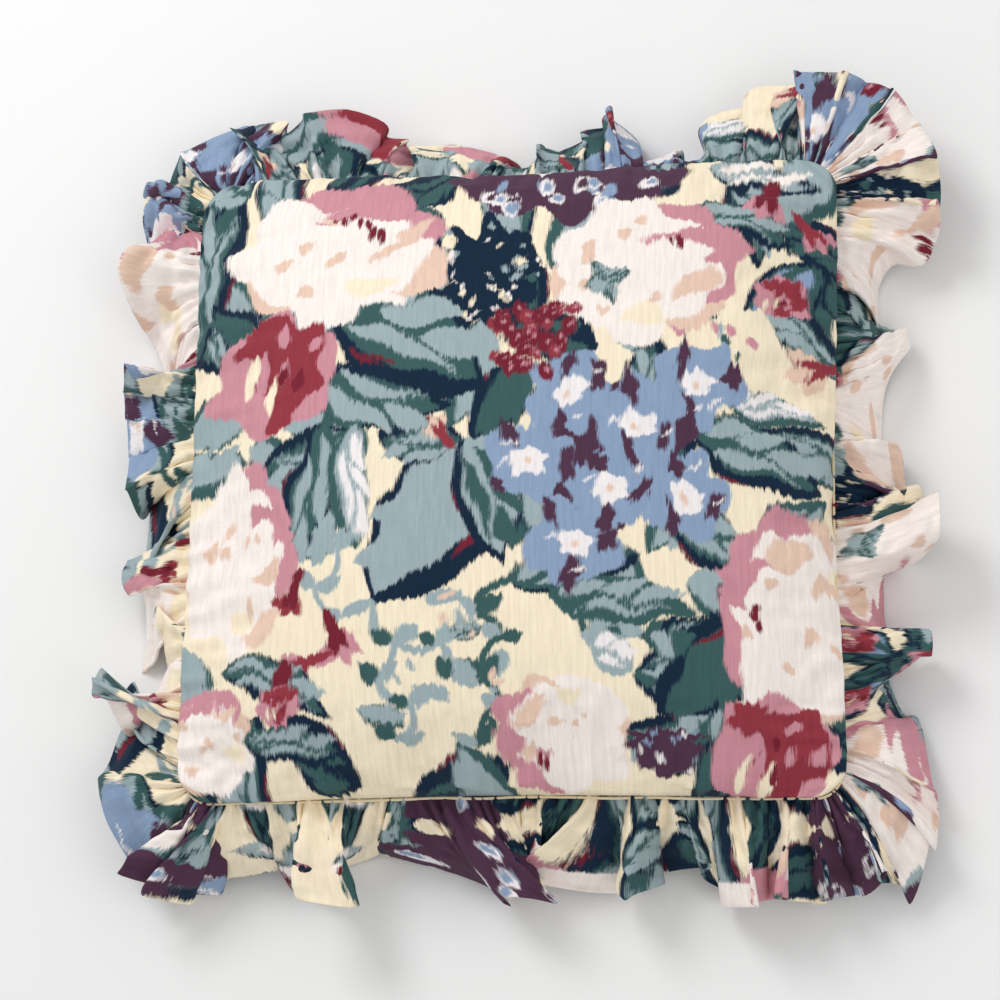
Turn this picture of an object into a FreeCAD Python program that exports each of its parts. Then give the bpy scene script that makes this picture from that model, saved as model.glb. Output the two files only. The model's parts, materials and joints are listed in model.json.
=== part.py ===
"""A square throw pillow with a gathered ruffle: printed cover, zip in the bottom edge, and a stuffed insert.

The pillow lies on its back. Its front panel faces +Z, its bottom edge, where the zip is, faces -Y,
and the origin is on the floor below the middle. Every length is in millimetres.
"""
import FreeCAD, Part
import math
import os

from FreeCAD import Placement, Rotation, Vector

# Cover
SEAM_SIDE = 436.0  # from seam to seam, the same both ways
CORNER_RADIUS = 16.0  # of the seam line at each corner
SEAM_HEIGHT = 58.0  # of the seam above the floor
FRONT_RISE = 77.0  # of the front panel's middle above the seam
BACK_DROP = 66.0  # depth that the back panel would have if the floor didn't press it flat
PANEL_CLOTH = 0.8
CROWN_POWER = 4.0  # how square the crown of a panel is
EDGE_POWER = 12.0  # the same beside the zip, which holds the cloth straight
EDGE_FROM = 0.6  # share of the half side where that straightening starts
EDGE_OVER = 0.3  # and how much further out it is complete
LAYER_GAP = 0.2  # between layers that are sewn together
EDGING_THICKNESS = 1.2  # of the plain cord edging between the front panel and the ruffle
EDGING_SHOWS = 1.6  # how far the edging stands out past the seam
EDGING_DEPTH = 8.0  # and how far its flat edge runs in behind it

# Ruffle
RUFFLE_HEADING = 1.6  # thickness of the gathers where the seam holds them
HEADING_DEPTH = 10.0  # how far the gathers run in behind the seam
RUFFLE_REACH = 65.0  # how far the free edge stands out from the seam
RUFFLE_FALL = 26.0  # how far the middle of the free edge hangs below the seam
RUFFLE_WAVE = 20.0  # half the height of the waves at the free edge
FALL_POWER = 1.6  # how the fall grows towards the free edge

# Insert
INSERT_INSET = 13.0  # from the cover's seam to the insert's
CASING_CLOTH = 0.5
INSERT_GAP = 0.6  # between the cover and the insert at the middle
SEAM_EDGE = 1.0  # half thickness of the insert where its two casings meet

# Zip, in its own plane: x along it, w across it towards the seam, n out of the cloth
ZIP_LENGTH = 344.0  # of the coils, between the stops
ZIP_TAIL = 2.6  # of tape past each stop, inside the gap in the back panel
ZIP_CLEARANCE = 0.4
ZIP_MARGIN = 3.0  # between the upper tape's edge and the seam
TAPE_WIDTH = 12.0
TAPE_CLOTH = 0.5
COIL_WIDTH = 2.1
COIL_HEIGHT = 1.7
POST_WIDTH = 0.8  # of the post between the slider's plates
POST_CLEARANCE = 0.3
EDGE_TO_COIL = 5.4  # from the zip's middle line to the folded edges of the cloth
STRIP_FOLD = 1.2  # thickness of the folded strip between zip and seam
STOP_LENGTH = 3.0

# Slider and pull
SLIDER_LENGTH = 13.0
SLIDER_NOSE = 9.4  # width at the nose
SLIDER_TAIL = 7.6  # width at the tail
SLIDER_PLATE = 1.0
POST_FROM_NOSE = 1.0  # how far the post lies behind the nose
SLIDER_FLANGE = 0.6
POST_LENGTH = 3.4
LUG_LENGTH = 7.4
LUG_WIDTH = 2.2
LUG_BAR = 0.9
LUG_OPENING = 2.0  # height of the gap under the lug's bar
LUG_ROUNDING = 0.8  # of the bar's top edges
PULL_LENGTH = 25.0
PULL_WIDTH = 6.6
PULL_PLATE = 1.0
PULL_PIN_RADIUS = 0.55
PULL_EYE = 5.4  # length of the eye that the lug goes through
PULL_ROUNDING = 2.6  # of the corners at the free end
GRIP_LENGTH = 7.5  # of the slot near the free end
GRIP_WIDTH = 2.6
GRIP_FROM_PIN = 12.5
PULL_CLEARANCE = 0.35

HALF = SEAM_SIDE / 2
BACK_RIM = RUFFLE_HEADING / 2 + LAYER_GAP + PANEL_CLOTH  # from the seam's level down to the back's outer face
FRONT_RIM = BACK_RIM + EDGING_THICKNESS + LAYER_GAP  # and up to the front's, with the edging between
COIL_START = POST_WIDTH / 2 + POST_CLEARANCE  # from the zip's middle line to the near side of a coil
ZIP_WIDTH = COIL_START + TAPE_WIDTH + EDGE_TO_COIL  # from the upper tape's far edge to the back panel's edge
ZIP_OPENING = ZIP_LENGTH + 2 * (STOP_LENGTH + ZIP_TAIL + ZIP_CLEARANCE)  # length of the gap in the back panel
TALL = SEAM_HEIGHT + FRONT_RISE + 50.0  # reaches past the pillow from any level
GRID = 41  # points each way that carry a crowned surface
OVERHANG = 5.0  # how far a crowned surface runs past the outline that trims it
SLOPE_STEPS = 40  # halvings that find the zip's slope


def smooth_step(value):
    """0 below 0, 1 above 1, and a smooth rise between."""
    value = min(1.0, max(0.0, value))
    return value * value * (3 - 2 * value)


def crown(x, y, half, rise, straight_edge):
    """Height of a stuffed square panel above its seam, straighter beside the zip where asked."""
    u, v = abs(x) / half, y / half
    power = CROWN_POWER
    if straight_edge:
        power += (EDGE_POWER - CROWN_POWER) * smooth_step((-v - EDGE_FROM) / EDGE_OVER)
    return rise * (1 - u**power) * (1 - abs(v) ** CROWN_POWER)


def crowned_face(half, level, rise, straight_edge=False):
    """A crowned surface that leaves the given level at the outline; a negative rise hangs down."""
    reach = half + OVERHANG
    places = [reach * (2 * i / (GRID - 1) - 1) for i in range(GRID)]
    rows = [
        [Vector(x, y, level + crown(x, y, half, rise, straight_edge)) for y in places] for x in places
    ]
    surface = Part.BSplineSurface()
    surface.interpolate(rows)
    return surface.toShape()


def outline(half, radius, bottom, top):
    """An upright prism on a square with round corners."""
    block = Part.makeBox(2 * half, 2 * half, top - bottom, Vector(-half, -half, bottom))
    upright = [e for e in block.Edges if abs(e.Vertexes[0].Z - e.Vertexes[-1].Z) > 1]
    return block.makeFillet(radius, upright)


def slab(bottom, top):
    """Everything between two levels."""
    return Part.makeBox(4 * HALF, 4 * HALF, top - bottom, Vector(-2 * HALF, -2 * HALF, bottom))


def one_solid(shape):
    """The single solid that a boolean leaves."""
    solids = shape.removeSplitter().Solids
    if len(solids) != 1:
        raise ValueError(f"expected one solid and got {len(solids)}")
    return solids[0]


def front_panel():
    """The printed square on top, crowned by the insert."""
    face = crowned_face(HALF, SEAM_HEIGHT + FRONT_RIM, FRONT_RISE - FRONT_RIM)
    sheet = face.extrude(Vector(0, 0, -PANEL_CLOTH))
    return one_solid(sheet.common(outline(HALF, CORNER_RADIUS, 0, TALL)))


def back_level(x, y):
    """Height of the back panel's outer face, floor aside."""
    return SEAM_HEIGHT - BACK_RIM - crown(x, y, HALF, BACK_DROP - BACK_RIM, True)


def tape_top():
    """Where the upper tape's far edge lies, just inside the seam and below the gathers: y and level."""
    level = SEAM_HEIGHT - RUFFLE_HEADING / 2 - TAPE_CLOTH - ZIP_CLEARANCE
    return ZIP_MARGIN - HALF, level


def zip_slope():
    """The zip's fall below the horizontal, in radians, that lays it just inside the back panel's edge."""
    top_y, top_level = tape_top()
    across = COIL_START + TAPE_WIDTH
    room = TAPE_CLOTH + ZIP_CLEARANCE
    low, high = 0.0, math.pi / 2
    for _ in range(SLOPE_STEPS):
        slope = (low + high) / 2
        clear = True
        for reach in (ZIP_WIDTH, 2 * across):
            y, level = top_y + reach * math.cos(slope), top_level - reach * math.sin(slope)
            inside = back_level(ZIP_OPENING / 2, y) + PANEL_CLOTH
            clear = clear and level - room / math.cos(slope) > inside
        low, high = (slope, high) if clear else (low, slope)
    return low


def zip_edge_y():
    """Where the back panel ends beside the zip."""
    return tape_top()[0] + ZIP_WIDTH * math.cos(zip_slope())


def zip_placement():
    """Puts the zip's own axes in place, just inside the back panel's edge."""
    top_y, top_level = tape_top()
    across = COIL_START + TAPE_WIDTH
    slope = zip_slope()
    middle = Vector(0, top_y + across * math.cos(slope), top_level - across * math.sin(slope))
    return Placement(middle, Rotation(Vector(1, 0, 0), 180 - math.degrees(slope)))


def back_panel():
    """The back square, pressed flat where it lies on the floor, with a gap for the zip."""
    face = crowned_face(HALF, SEAM_HEIGHT - BACK_RIM, BACK_RIM - BACK_DROP, True)
    outer = face.extrude(Vector(0, 0, 2 * TALL))
    outer = outer.common(outline(HALF, CORNER_RADIUS, 0, SEAM_HEIGHT - RUFFLE_HEADING / 2))
    inner = face.translated(Vector(0, 0, PANEL_CLOTH)).extrude(Vector(0, 0, 2 * TALL))
    inner = inner.common(slab(PANEL_CLOTH, 2 * TALL))
    gap_depth = HALF + zip_edge_y()
    gap = Part.makeBox(
        ZIP_OPENING, gap_depth + OVERHANG, TALL, Vector(-ZIP_OPENING / 2, -HALF - OVERHANG, 0)
    )
    return one_solid(outer.cut(inner).cut(gap))


def back_strip():
    """The folded strip of the back between the zip and the seam."""
    width = COIL_START + TAPE_WIDTH - EDGE_TO_COIL - STRIP_FOLD
    strip = Part.makeBox(
        ZIP_OPENING - 2 * ZIP_CLEARANCE,
        width,
        STRIP_FOLD,
        Vector(ZIP_CLEARANCE - ZIP_OPENING / 2, EDGE_TO_COIL, TAPE_CLOTH / 2 + LAYER_GAP),
    )
    return strip.transformed(zip_placement().Matrix)


def seam_edging():
    """The plain edging that runs round the whole seam between the front panel and the ruffle."""
    bottom = SEAM_HEIGHT + RUFFLE_HEADING / 2 + LAYER_GAP
    top = bottom + EDGING_THICKNESS
    ring = outline(HALF + EDGING_SHOWS, CORNER_RADIUS + EDGING_SHOWS, bottom, top)
    rounding = EDGING_THICKNESS * 0.4
    outer = [e for e in ring.Edges if abs(e.BoundBox.ZMin - e.BoundBox.ZMax) < 0.01]
    ring = ring.makeFillet(rounding, outer)
    inside = HALF - EDGING_DEPTH
    return one_solid(ring.cut(outline(inside, CORNER_RADIUS - EDGING_DEPTH, bottom - 1, top + 1)))


def ruffle_section():
    """Upright section of the space that the gathered strip fills, with x outward from the seam."""
    stations = [RUFFLE_REACH * share for share in (0.25, 0.5, 0.75, 1.0)]

    def middle(out):
        return -RUFFLE_FALL * (out / RUFFLE_REACH) ** FALL_POWER

    def wave(out):
        return RUFFLE_HEADING / 2 + (RUFFLE_WAVE - RUFFLE_HEADING / 2) * out / RUFFLE_REACH

    half = RUFFLE_HEADING / 2
    above = [(-HEADING_DEPTH, half), (0, half)] + [(s, middle(s) + wave(s)) for s in stations]
    below = [(s, middle(s) - wave(s)) for s in reversed(stations)] + [(0, -half), (-HEADING_DEPTH, -half)]
    return above + below


def ruffle_strip(turn):
    """One cut length of the ruffle, along one side and half way round the corners at its ends."""
    straight = HALF - CORNER_RADIUS
    corner_axis = Vector(straight, -straight, 0)
    points = [Vector(straight, -HALF - out, SEAM_HEIGHT + up) for out, up in ruffle_section()]
    section = Part.Face(Part.makePolygon(points + points[:1]))
    along = section.extrude(Vector(-2 * straight, 0, 0))
    right_end = section.revolve(corner_axis, Vector(0, 0, 1), 45)
    left_end = right_end.mirror(Vector(0, 0, 0), Vector(1, 0, 0))
    strip = one_solid(along.fuse([right_end, left_end]))
    return strip.rotated(Vector(0, 0, 0), Vector(0, 0, 1), turn)


def zip_box(length, width, height, x, w, n):
    """A block in the zip's own axes, from its lowest corner."""
    return Part.makeBox(length, width, height, Vector(x, w, n)).transformed(zip_placement().Matrix)


def zip_room(drop):
    """The space inside and round the zip that the insert stays out of, with a margin."""
    margin = INSERT_GAP + drop
    length = ZIP_OPENING + 2 * margin
    width = COIL_START + TAPE_WIDTH + margin
    return zip_box(length, 2 * width, TALL, -length / 2, -width, -TAPE_CLOTH / 2 - margin)


def insert_half(front_half, inset, drop):
    """Everything inside the insert's front or back face, down or up to the seam, taken in by a margin."""
    half = HALF - INSERT_INSET - inset
    down = PANEL_CLOTH + INSERT_GAP + drop
    edge = max(SEAM_EDGE - drop, SEAM_EDGE / 5)
    if front_half:
        face = crowned_face(half, SEAM_HEIGHT + edge, FRONT_RISE - down - edge)
        body = face.extrude(Vector(0, 0, -TALL))
        return body.common(outline(half, CORNER_RADIUS, SEAM_HEIGHT, 2 * TALL))
    face = crowned_face(half, SEAM_HEIGHT - edge, edge + down - BACK_DROP)
    body = face.extrude(Vector(0, 0, TALL))
    return body.common(outline(half, CORNER_RADIUS, down, SEAM_HEIGHT)).cut(zip_room(drop))


def insert_casing(front_half):
    """One of the two plain squares that are sewn round the fill."""
    outer = insert_half(front_half, 0, 0)
    return one_solid(outer.cut(insert_half(front_half, CASING_CLOTH, CASING_CLOTH)))


def insert_fill():
    """The stuffing."""
    margin = CASING_CLOTH + LAYER_GAP
    return one_solid(insert_half(True, margin, margin).fuse(insert_half(False, margin, margin)))


def zip_tape(side):
    """One woven tape; side is 1 towards the seam and -1 towards the back panel."""
    start = COIL_START if side > 0 else -COIL_START - TAPE_WIDTH
    length = ZIP_OPENING - 2 * ZIP_CLEARANCE
    return zip_box(length, TAPE_WIDTH, TAPE_CLOTH, -length / 2, start, -TAPE_CLOTH / 2)


def zip_coil(side):
    """One row of coil, as a bar of its outer shape."""
    start = COIL_START if side > 0 else -COIL_START - COIL_WIDTH
    return zip_box(ZIP_LENGTH, COIL_WIDTH, COIL_HEIGHT, -ZIP_LENGTH / 2, start, TAPE_CLOTH / 2)


def zip_top_stops():
    """The two small clips at the closed end, one on each tape."""
    x = ZIP_LENGTH / 2 + ZIP_CLEARANCE
    stops = []
    for start in (COIL_START, -COIL_START - COIL_WIDTH):
        stops.append(zip_box(STOP_LENGTH, COIL_WIDTH, COIL_HEIGHT, x, start, TAPE_CLOTH / 2))
    return Part.makeCompound(stops)


def zip_bottom_stop():
    """The staple that joins both tapes at the open end."""
    half = COIL_START + COIL_WIDTH
    x = -ZIP_LENGTH / 2 - ZIP_CLEARANCE - STOP_LENGTH
    return zip_box(STOP_LENGTH, 2 * half, COIL_HEIGHT, x, -half, TAPE_CLOTH / 2)


def slider_x():
    """Middle of the slider when the zip is shut."""
    return ZIP_LENGTH / 2 - SLIDER_LENGTH / 2


def slider_plate(level):
    """A plate of the slider, wide at the nose and narrow at the tail."""
    nose, tail, back = SLIDER_NOSE / 2, SLIDER_TAIL / 2, -SLIDER_LENGTH / 2
    front = SLIDER_LENGTH / 2
    points = [(back, -tail), (0, -nose), (front, -nose), (front, nose), (0, nose), (back, tail)]
    corners = [Vector(x, w, level) for x, w in points]
    plate = Part.Face(Part.makePolygon(corners + corners[:1])).extrude(Vector(0, 0, SLIDER_PLATE))
    upright = [e for e in plate.Edges if abs(e.Vertexes[0].Z - e.Vertexes[-1].Z) > SLIDER_PLATE / 2]
    return plate.makeFillet(SLIDER_PLATE, upright)


def slider_levels():
    """Inner faces of the slider's two plates."""
    under = -TAPE_CLOTH / 2 - ZIP_CLEARANCE - SLIDER_FLANGE
    over = TAPE_CLOTH / 2 + COIL_HEIGHT + ZIP_CLEARANCE
    return under, over


def slider_flanges(under, over):
    """Rims along both sides that hold the coils together, open for the tape."""
    rims = []
    inside = COIL_START + COIL_WIDTH + ZIP_CLEARANCE
    length = SLIDER_LENGTH - 2 * SLIDER_PLATE
    tape_top, tape_bottom = TAPE_CLOTH / 2 + ZIP_CLEARANCE, -TAPE_CLOTH / 2 - ZIP_CLEARANCE
    for start in (inside, -inside - SLIDER_FLANGE):
        for low, high in ((tape_top, over), (under, tape_bottom)):
            corner = Vector(-length / 2, start, low)
            rims.append(Part.makeBox(length, SLIDER_FLANGE, high - low, corner))
    return rims


def pull_pivot_level():
    """Height of the pull's pin above the tape, under the lug's bar."""
    return slider_levels()[1] + SLIDER_PLATE + LUG_OPENING / 2


def zip_slider():
    """The slider: two plates, the post between them, side rims and the lug for the pull."""
    under, over = slider_levels()
    top = over + SLIDER_PLATE
    post_start = Vector(SLIDER_LENGTH / 2 - POST_LENGTH - POST_FROM_NOSE, -POST_WIDTH / 2, under)
    post = Part.makeBox(POST_LENGTH, POST_WIDTH, over - under, post_start)
    lug_start = Vector(-LUG_LENGTH / 2, -LUG_WIDTH / 2, top)
    lug = Part.makeBox(LUG_LENGTH, LUG_WIDTH, LUG_OPENING + LUG_BAR, lug_start)
    gap_length = LUG_LENGTH - 2 * LUG_BAR
    gap = Part.makeBox(gap_length, 2 * LUG_WIDTH, LUG_OPENING, Vector(-gap_length / 2, -LUG_WIDTH, top))
    across = [e for e in lug.Edges if e.BoundBox.XLength < LUG_BAR]
    top_edges = [e for e in across if e.BoundBox.ZMin > top + LUG_OPENING]
    lug = lug.makeFillet(LUG_ROUNDING, top_edges).cut(gap)
    pieces = [slider_plate(over), post, lug, *slider_flanges(under, over)]
    body = slider_plate(under - SLIDER_PLATE).fuse(pieces)
    body.translate(Vector(slider_x(), 0, 0))
    return one_solid(body).transformed(zip_placement().Matrix)


def zip_pull():
    """The pull tab, hanging out from the slider on a pin through the lug."""
    level = pull_pivot_level()
    eye_half = LUG_WIDTH / 2 + PULL_CLEARANCE
    half = PULL_WIDTH / 2
    plate = Part.makeBox(PULL_PLATE, PULL_WIDTH, PULL_LENGTH, Vector(-PULL_PLATE / 2, -half, level))
    through = [e for e in plate.Edges if e.BoundBox.XLength > PULL_PLATE / 2]
    free_end = [e for e in through if e.BoundBox.ZMin > level + PULL_LENGTH / 2]
    plate = plate.makeFillet(PULL_ROUNDING, free_end)
    eye_start = Vector(-PULL_PLATE, -eye_half, level - PULL_PLATE)
    eye = Part.makeBox(2 * PULL_PLATE, 2 * eye_half, PULL_EYE + PULL_PLATE, eye_start)
    pin = Part.makeCylinder(PULL_PIN_RADIUS, PULL_WIDTH, Vector(0, -half, level), Vector(0, 1, 0))
    grip_start = Vector(-PULL_PLATE, -GRIP_WIDTH / 2, level + GRIP_FROM_PIN)
    grip = Part.makeBox(2 * PULL_PLATE, GRIP_WIDTH, GRIP_LENGTH, grip_start)
    body = plate.cut(eye).cut(grip).fuse(pin)
    body.translate(Vector(slider_x(), 0, 0))
    return one_solid(body).transformed(zip_placement().Matrix)


def main():
    """Builds every piece and writes it under its own name."""
    pieces = {
        "front_panel": front_panel(),
        "back_panel": back_panel(),
        "back_strip": back_strip(),
        "seam_edging": seam_edging(),
        "insert_casing_front": insert_casing(True),
        "insert_casing_back": insert_casing(False),
        "insert_fill": insert_fill(),
        "zip_tape_upper": zip_tape(1),
        "zip_tape_lower": zip_tape(-1),
        "zip_coil_upper": zip_coil(1),
        "zip_coil_lower": zip_coil(-1),
        "zip_top_stops": zip_top_stops(),
        "zip_bottom_stop": zip_bottom_stop(),
        "zip_slider": zip_slider(),
        "zip_pull": zip_pull(),
    }
    for number, side in enumerate(("bottom", "right", "top", "left")):
        pieces[f"ruffle_{side}"] = ruffle_strip(90 * number)
    os.makedirs("parts", exist_ok=True)
    for name, shape in pieces.items():
        shape.exportStep(f"parts/{name}.step")
        print(f"{name}: {len(shape.Solids)} solid, {shape.Volume / 1000:.2f} cm3, valid {shape.isValid()}")


main()
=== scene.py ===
"""Looks of a square throw pillow: printed cover, gathered ruffle, zip, edging and stuffed insert.

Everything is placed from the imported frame, in metres. The front panel faces +Z and the zip's edge faces -Y.
"""

import json
import logging
import math
from dataclasses import dataclass
from enum import Enum
from typing import Any, Iterable, Protocol, Sequence

import bmesh
import bpy
import numpy as np
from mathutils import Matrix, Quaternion, Vector


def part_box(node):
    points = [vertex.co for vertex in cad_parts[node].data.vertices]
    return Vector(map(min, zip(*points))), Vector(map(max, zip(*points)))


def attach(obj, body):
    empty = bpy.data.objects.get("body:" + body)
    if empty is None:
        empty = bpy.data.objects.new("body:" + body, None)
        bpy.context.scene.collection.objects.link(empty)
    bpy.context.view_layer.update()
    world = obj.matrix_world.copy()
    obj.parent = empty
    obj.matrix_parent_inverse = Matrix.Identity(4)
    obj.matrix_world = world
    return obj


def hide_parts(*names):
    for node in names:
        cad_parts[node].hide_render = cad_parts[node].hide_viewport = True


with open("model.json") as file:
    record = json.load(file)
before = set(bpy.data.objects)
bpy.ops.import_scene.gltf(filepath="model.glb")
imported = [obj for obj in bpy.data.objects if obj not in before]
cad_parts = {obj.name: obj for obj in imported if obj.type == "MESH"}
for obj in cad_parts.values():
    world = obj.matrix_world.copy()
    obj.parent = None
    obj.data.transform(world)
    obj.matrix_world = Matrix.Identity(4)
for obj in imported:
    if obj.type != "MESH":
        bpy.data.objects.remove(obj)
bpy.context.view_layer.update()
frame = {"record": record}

log = logging.getLogger("pillow")
MM = 0.001
Array = np.ndarray
Colour = tuple[float, float, float, float]
Pair = tuple[float, float]  # a place on the cloth, or half a width and half a height


# ---------------------------------------------------------------- shader tools


class Signal:
    """A shader socket that Python operators can work on."""

    def __init__(self, graph: "Graph", socket: bpy.types.NodeSocket) -> None:
        """Wrap one output socket of a graph."""
        self.graph = graph
        self.socket = socket

    def out(self, name: str) -> "Signal":
        """Another output of the same node."""
        return Signal(self.graph, self.socket.node.outputs[name])

    def __add__(self, other: Any) -> "Signal":
        """Sum."""
        return self.graph.math("ADD", self, other)

    __radd__ = __add__

    def __mul__(self, other: Any) -> "Signal":
        """Product."""
        return self.graph.math("MULTIPLY", self, other)

    __rmul__ = __mul__

    def __sub__(self, other: Any) -> "Signal":
        """Difference."""
        return self.graph.math("SUBTRACT", self, other)

    def __truediv__(self, other: Any) -> "Signal":
        """Quotient."""
        return self.graph.math("DIVIDE", self, other)

    def sin(self) -> "Signal":
        """Sine."""
        return self.graph.math("SINE", self)

    def frac(self) -> "Signal":
        """Fractional part."""
        return self.graph.math("FRACT", self)

    def abs(self) -> "Signal":
        """Size without its sign."""
        return self.graph.math("ABSOLUTE", self)

    def above(self, other: Any) -> "Signal":
        """The larger of two values."""
        return self.graph.math("MAXIMUM", self, other)

    def clamp(self) -> "Signal":
        """The value held between 0 and 1."""
        return self.graph.node("ShaderNodeClamp", {}, {"Value": self})


class Graph:
    """The node tree of one material."""

    def __init__(self, name: str) -> None:
        """Start an empty material.

        Args:
            name: Its name.
        """
        self.material = bpy.data.materials.new(name)
        self.material.use_nodes = True
        self.tree = self.material.node_tree
        self.tree.nodes.clear()

    def node(self, kind: str, settings: dict[str, Any] | None = None,
             sockets: dict[Any, Any] | None = None) -> Signal:
        """Add a node.

        Args:
            kind: The node's type.
            settings: Attributes that are set before the sockets.
            sockets: Values or signals by socket name or number.

        Returns:
            The node's first output.
        """
        made = self.tree.nodes.new(kind)
        for key, value in (settings or {}).items():
            setattr(made, key, value)
        for key, value in (sockets or {}).items():
            if isinstance(value, Signal):
                self.tree.links.new(value.socket, made.inputs[key])
            else:
                made.inputs[key].default_value = value
        return Signal(self, made.outputs[0]) if made.outputs else Signal(self, None)

    def math(self, operation: str, *values: Any) -> Signal:
        """Add a Math node on values or signals."""
        return self.node("ShaderNodeMath", {"operation": operation}, dict(enumerate(values)))

    def vector(self, operation: str, *values: Any) -> Signal:
        """Add a Vector Math node on vectors or signals."""
        return self.node("ShaderNodeVectorMath", {"operation": operation}, dict(enumerate(values)))

    def mix(self, factor: Any, first: Any, second: Any, blend: str = "MIX") -> Signal:
        """Mix two colours.

        Args:
            factor: Share of the second colour.
            first: The first colour.
            second: The second colour.
            blend: How they are mixed.

        Returns:
            The mixed colour.
        """
        settings = {"data_type": "RGBA", "blend_type": blend}
        mixed = self.node("ShaderNodeMix", settings, {0: factor, 6: first, 7: second})
        return Signal(self, mixed.socket.node.outputs[2])

    def attribute(self, name: str) -> Signal:
        """A colour attribute of the mesh; its vector and alpha are further outputs."""
        return self.node("ShaderNodeAttribute", {"attribute_name": name})

    def place(self, scale: Sequence[float], source: Signal | None = None) -> Signal:
        """Scale coordinates.

        Args:
            scale: A factor for each axis.
            source: The coordinates; the object's own when left out.

        Returns:
            The scaled coordinates.
        """
        if source is None:
            source = self.node("ShaderNodeTexCoord").out("Object")
        return self.vector("MULTIPLY", source, tuple(scale))

    def noise(self, where: Signal, detail: float = 2.0, roughness: float = 0.5,
              colour: bool = False) -> Signal:
        """Add smooth noise.

        Args:
            where: Coordinates, one unit to a wave.
            detail: How many finer layers it has.
            roughness: How strong those are.
            colour: Give three channels in place of one.

        Returns:
            Noise from 0 to 1.
        """
        sockets = {"Vector": where, "Scale": 1.0, "Detail": detail, "Roughness": roughness}
        made = self.node("ShaderNodeTexNoise", {"noise_dimensions": "3D"}, sockets)
        return made.out("Color") if colour else made

    def bump(self, height: Signal, distance: float, strength: float = 1.0) -> Signal:
        """A bumped normal; the height is a share of the distance in metres."""
        return self.node("ShaderNodeBump", {}, {"Strength": strength, "Distance": distance, "Height": height})

    def surface(self, **sockets: Any) -> bpy.types.Material:
        """Finish the material with a Principled shader.

        Args:
            sockets: Values by socket name, with underscores for spaces.

        Returns:
            The material.
        """
        named = {key.replace("_", " "): value for key, value in sockets.items()}
        shader = self.node("ShaderNodeBsdfPrincipled", {}, named)
        self.node("ShaderNodeOutputMaterial", {}, {"Surface": shader})
        return self.material


def shade(red: int, green: int, blue: int) -> Colour:
    """A screen colour made linear, from its three parts of 0 to 255."""
    parts = [v / 255 for v in (red, green, blue)]
    return (*[v / 12.92 if v <= 0.04045 else ((v + 0.055) / 1.055) ** 2.4 for v in parts], 1.0)


def darker(colour: Colour, share: float) -> Colour:
    """A colour at a share of its brightness."""
    return (*(v * share for v in colour[:3]), 1.0)


# ---------------------------------------------------------------- finishes


class Dye(Enum):
    """The print's dyes, in the order of the mesh's layers."""

    CREAM = shade(252, 238, 210)
    IVORY = shade(252, 242, 236)
    PEACH = shade(236, 204, 184)
    PINK = shade(208, 146, 158)
    ROSE = shade(150, 56, 68)
    BURGUNDY = shade(120, 34, 50)
    NAVY = shade(18, 40, 62)
    TEAL = shade(60, 94, 94)
    SAGE = shade(160, 178, 182)
    BLUE = shade(142, 164, 194)
    PLUM = shade(82, 52, 74)
    FROST = shade(246, 240, 240)


LAYERS = list(Dye)


def cloth_weave(graph: Graph, where: Signal, pitch: float = 0.55 * MM) -> Signal:
    """Height of a plain weave over cloth coordinates, with uneven threads.

    Args:
        graph: The material's graph.
        where: Cloth coordinates in metres.
        pitch: From one thread to the next.

    Returns:
        Height from 0 to 1.
    """
    warp = graph.noise(graph.place((1 / pitch, 0.07 / pitch, 1), where), 1.0)
    weft = graph.noise(graph.place((0.07 / pitch, 1 / pitch, 3), where), 1.0)
    return warp * 0.5 + weft * 0.5


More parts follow.
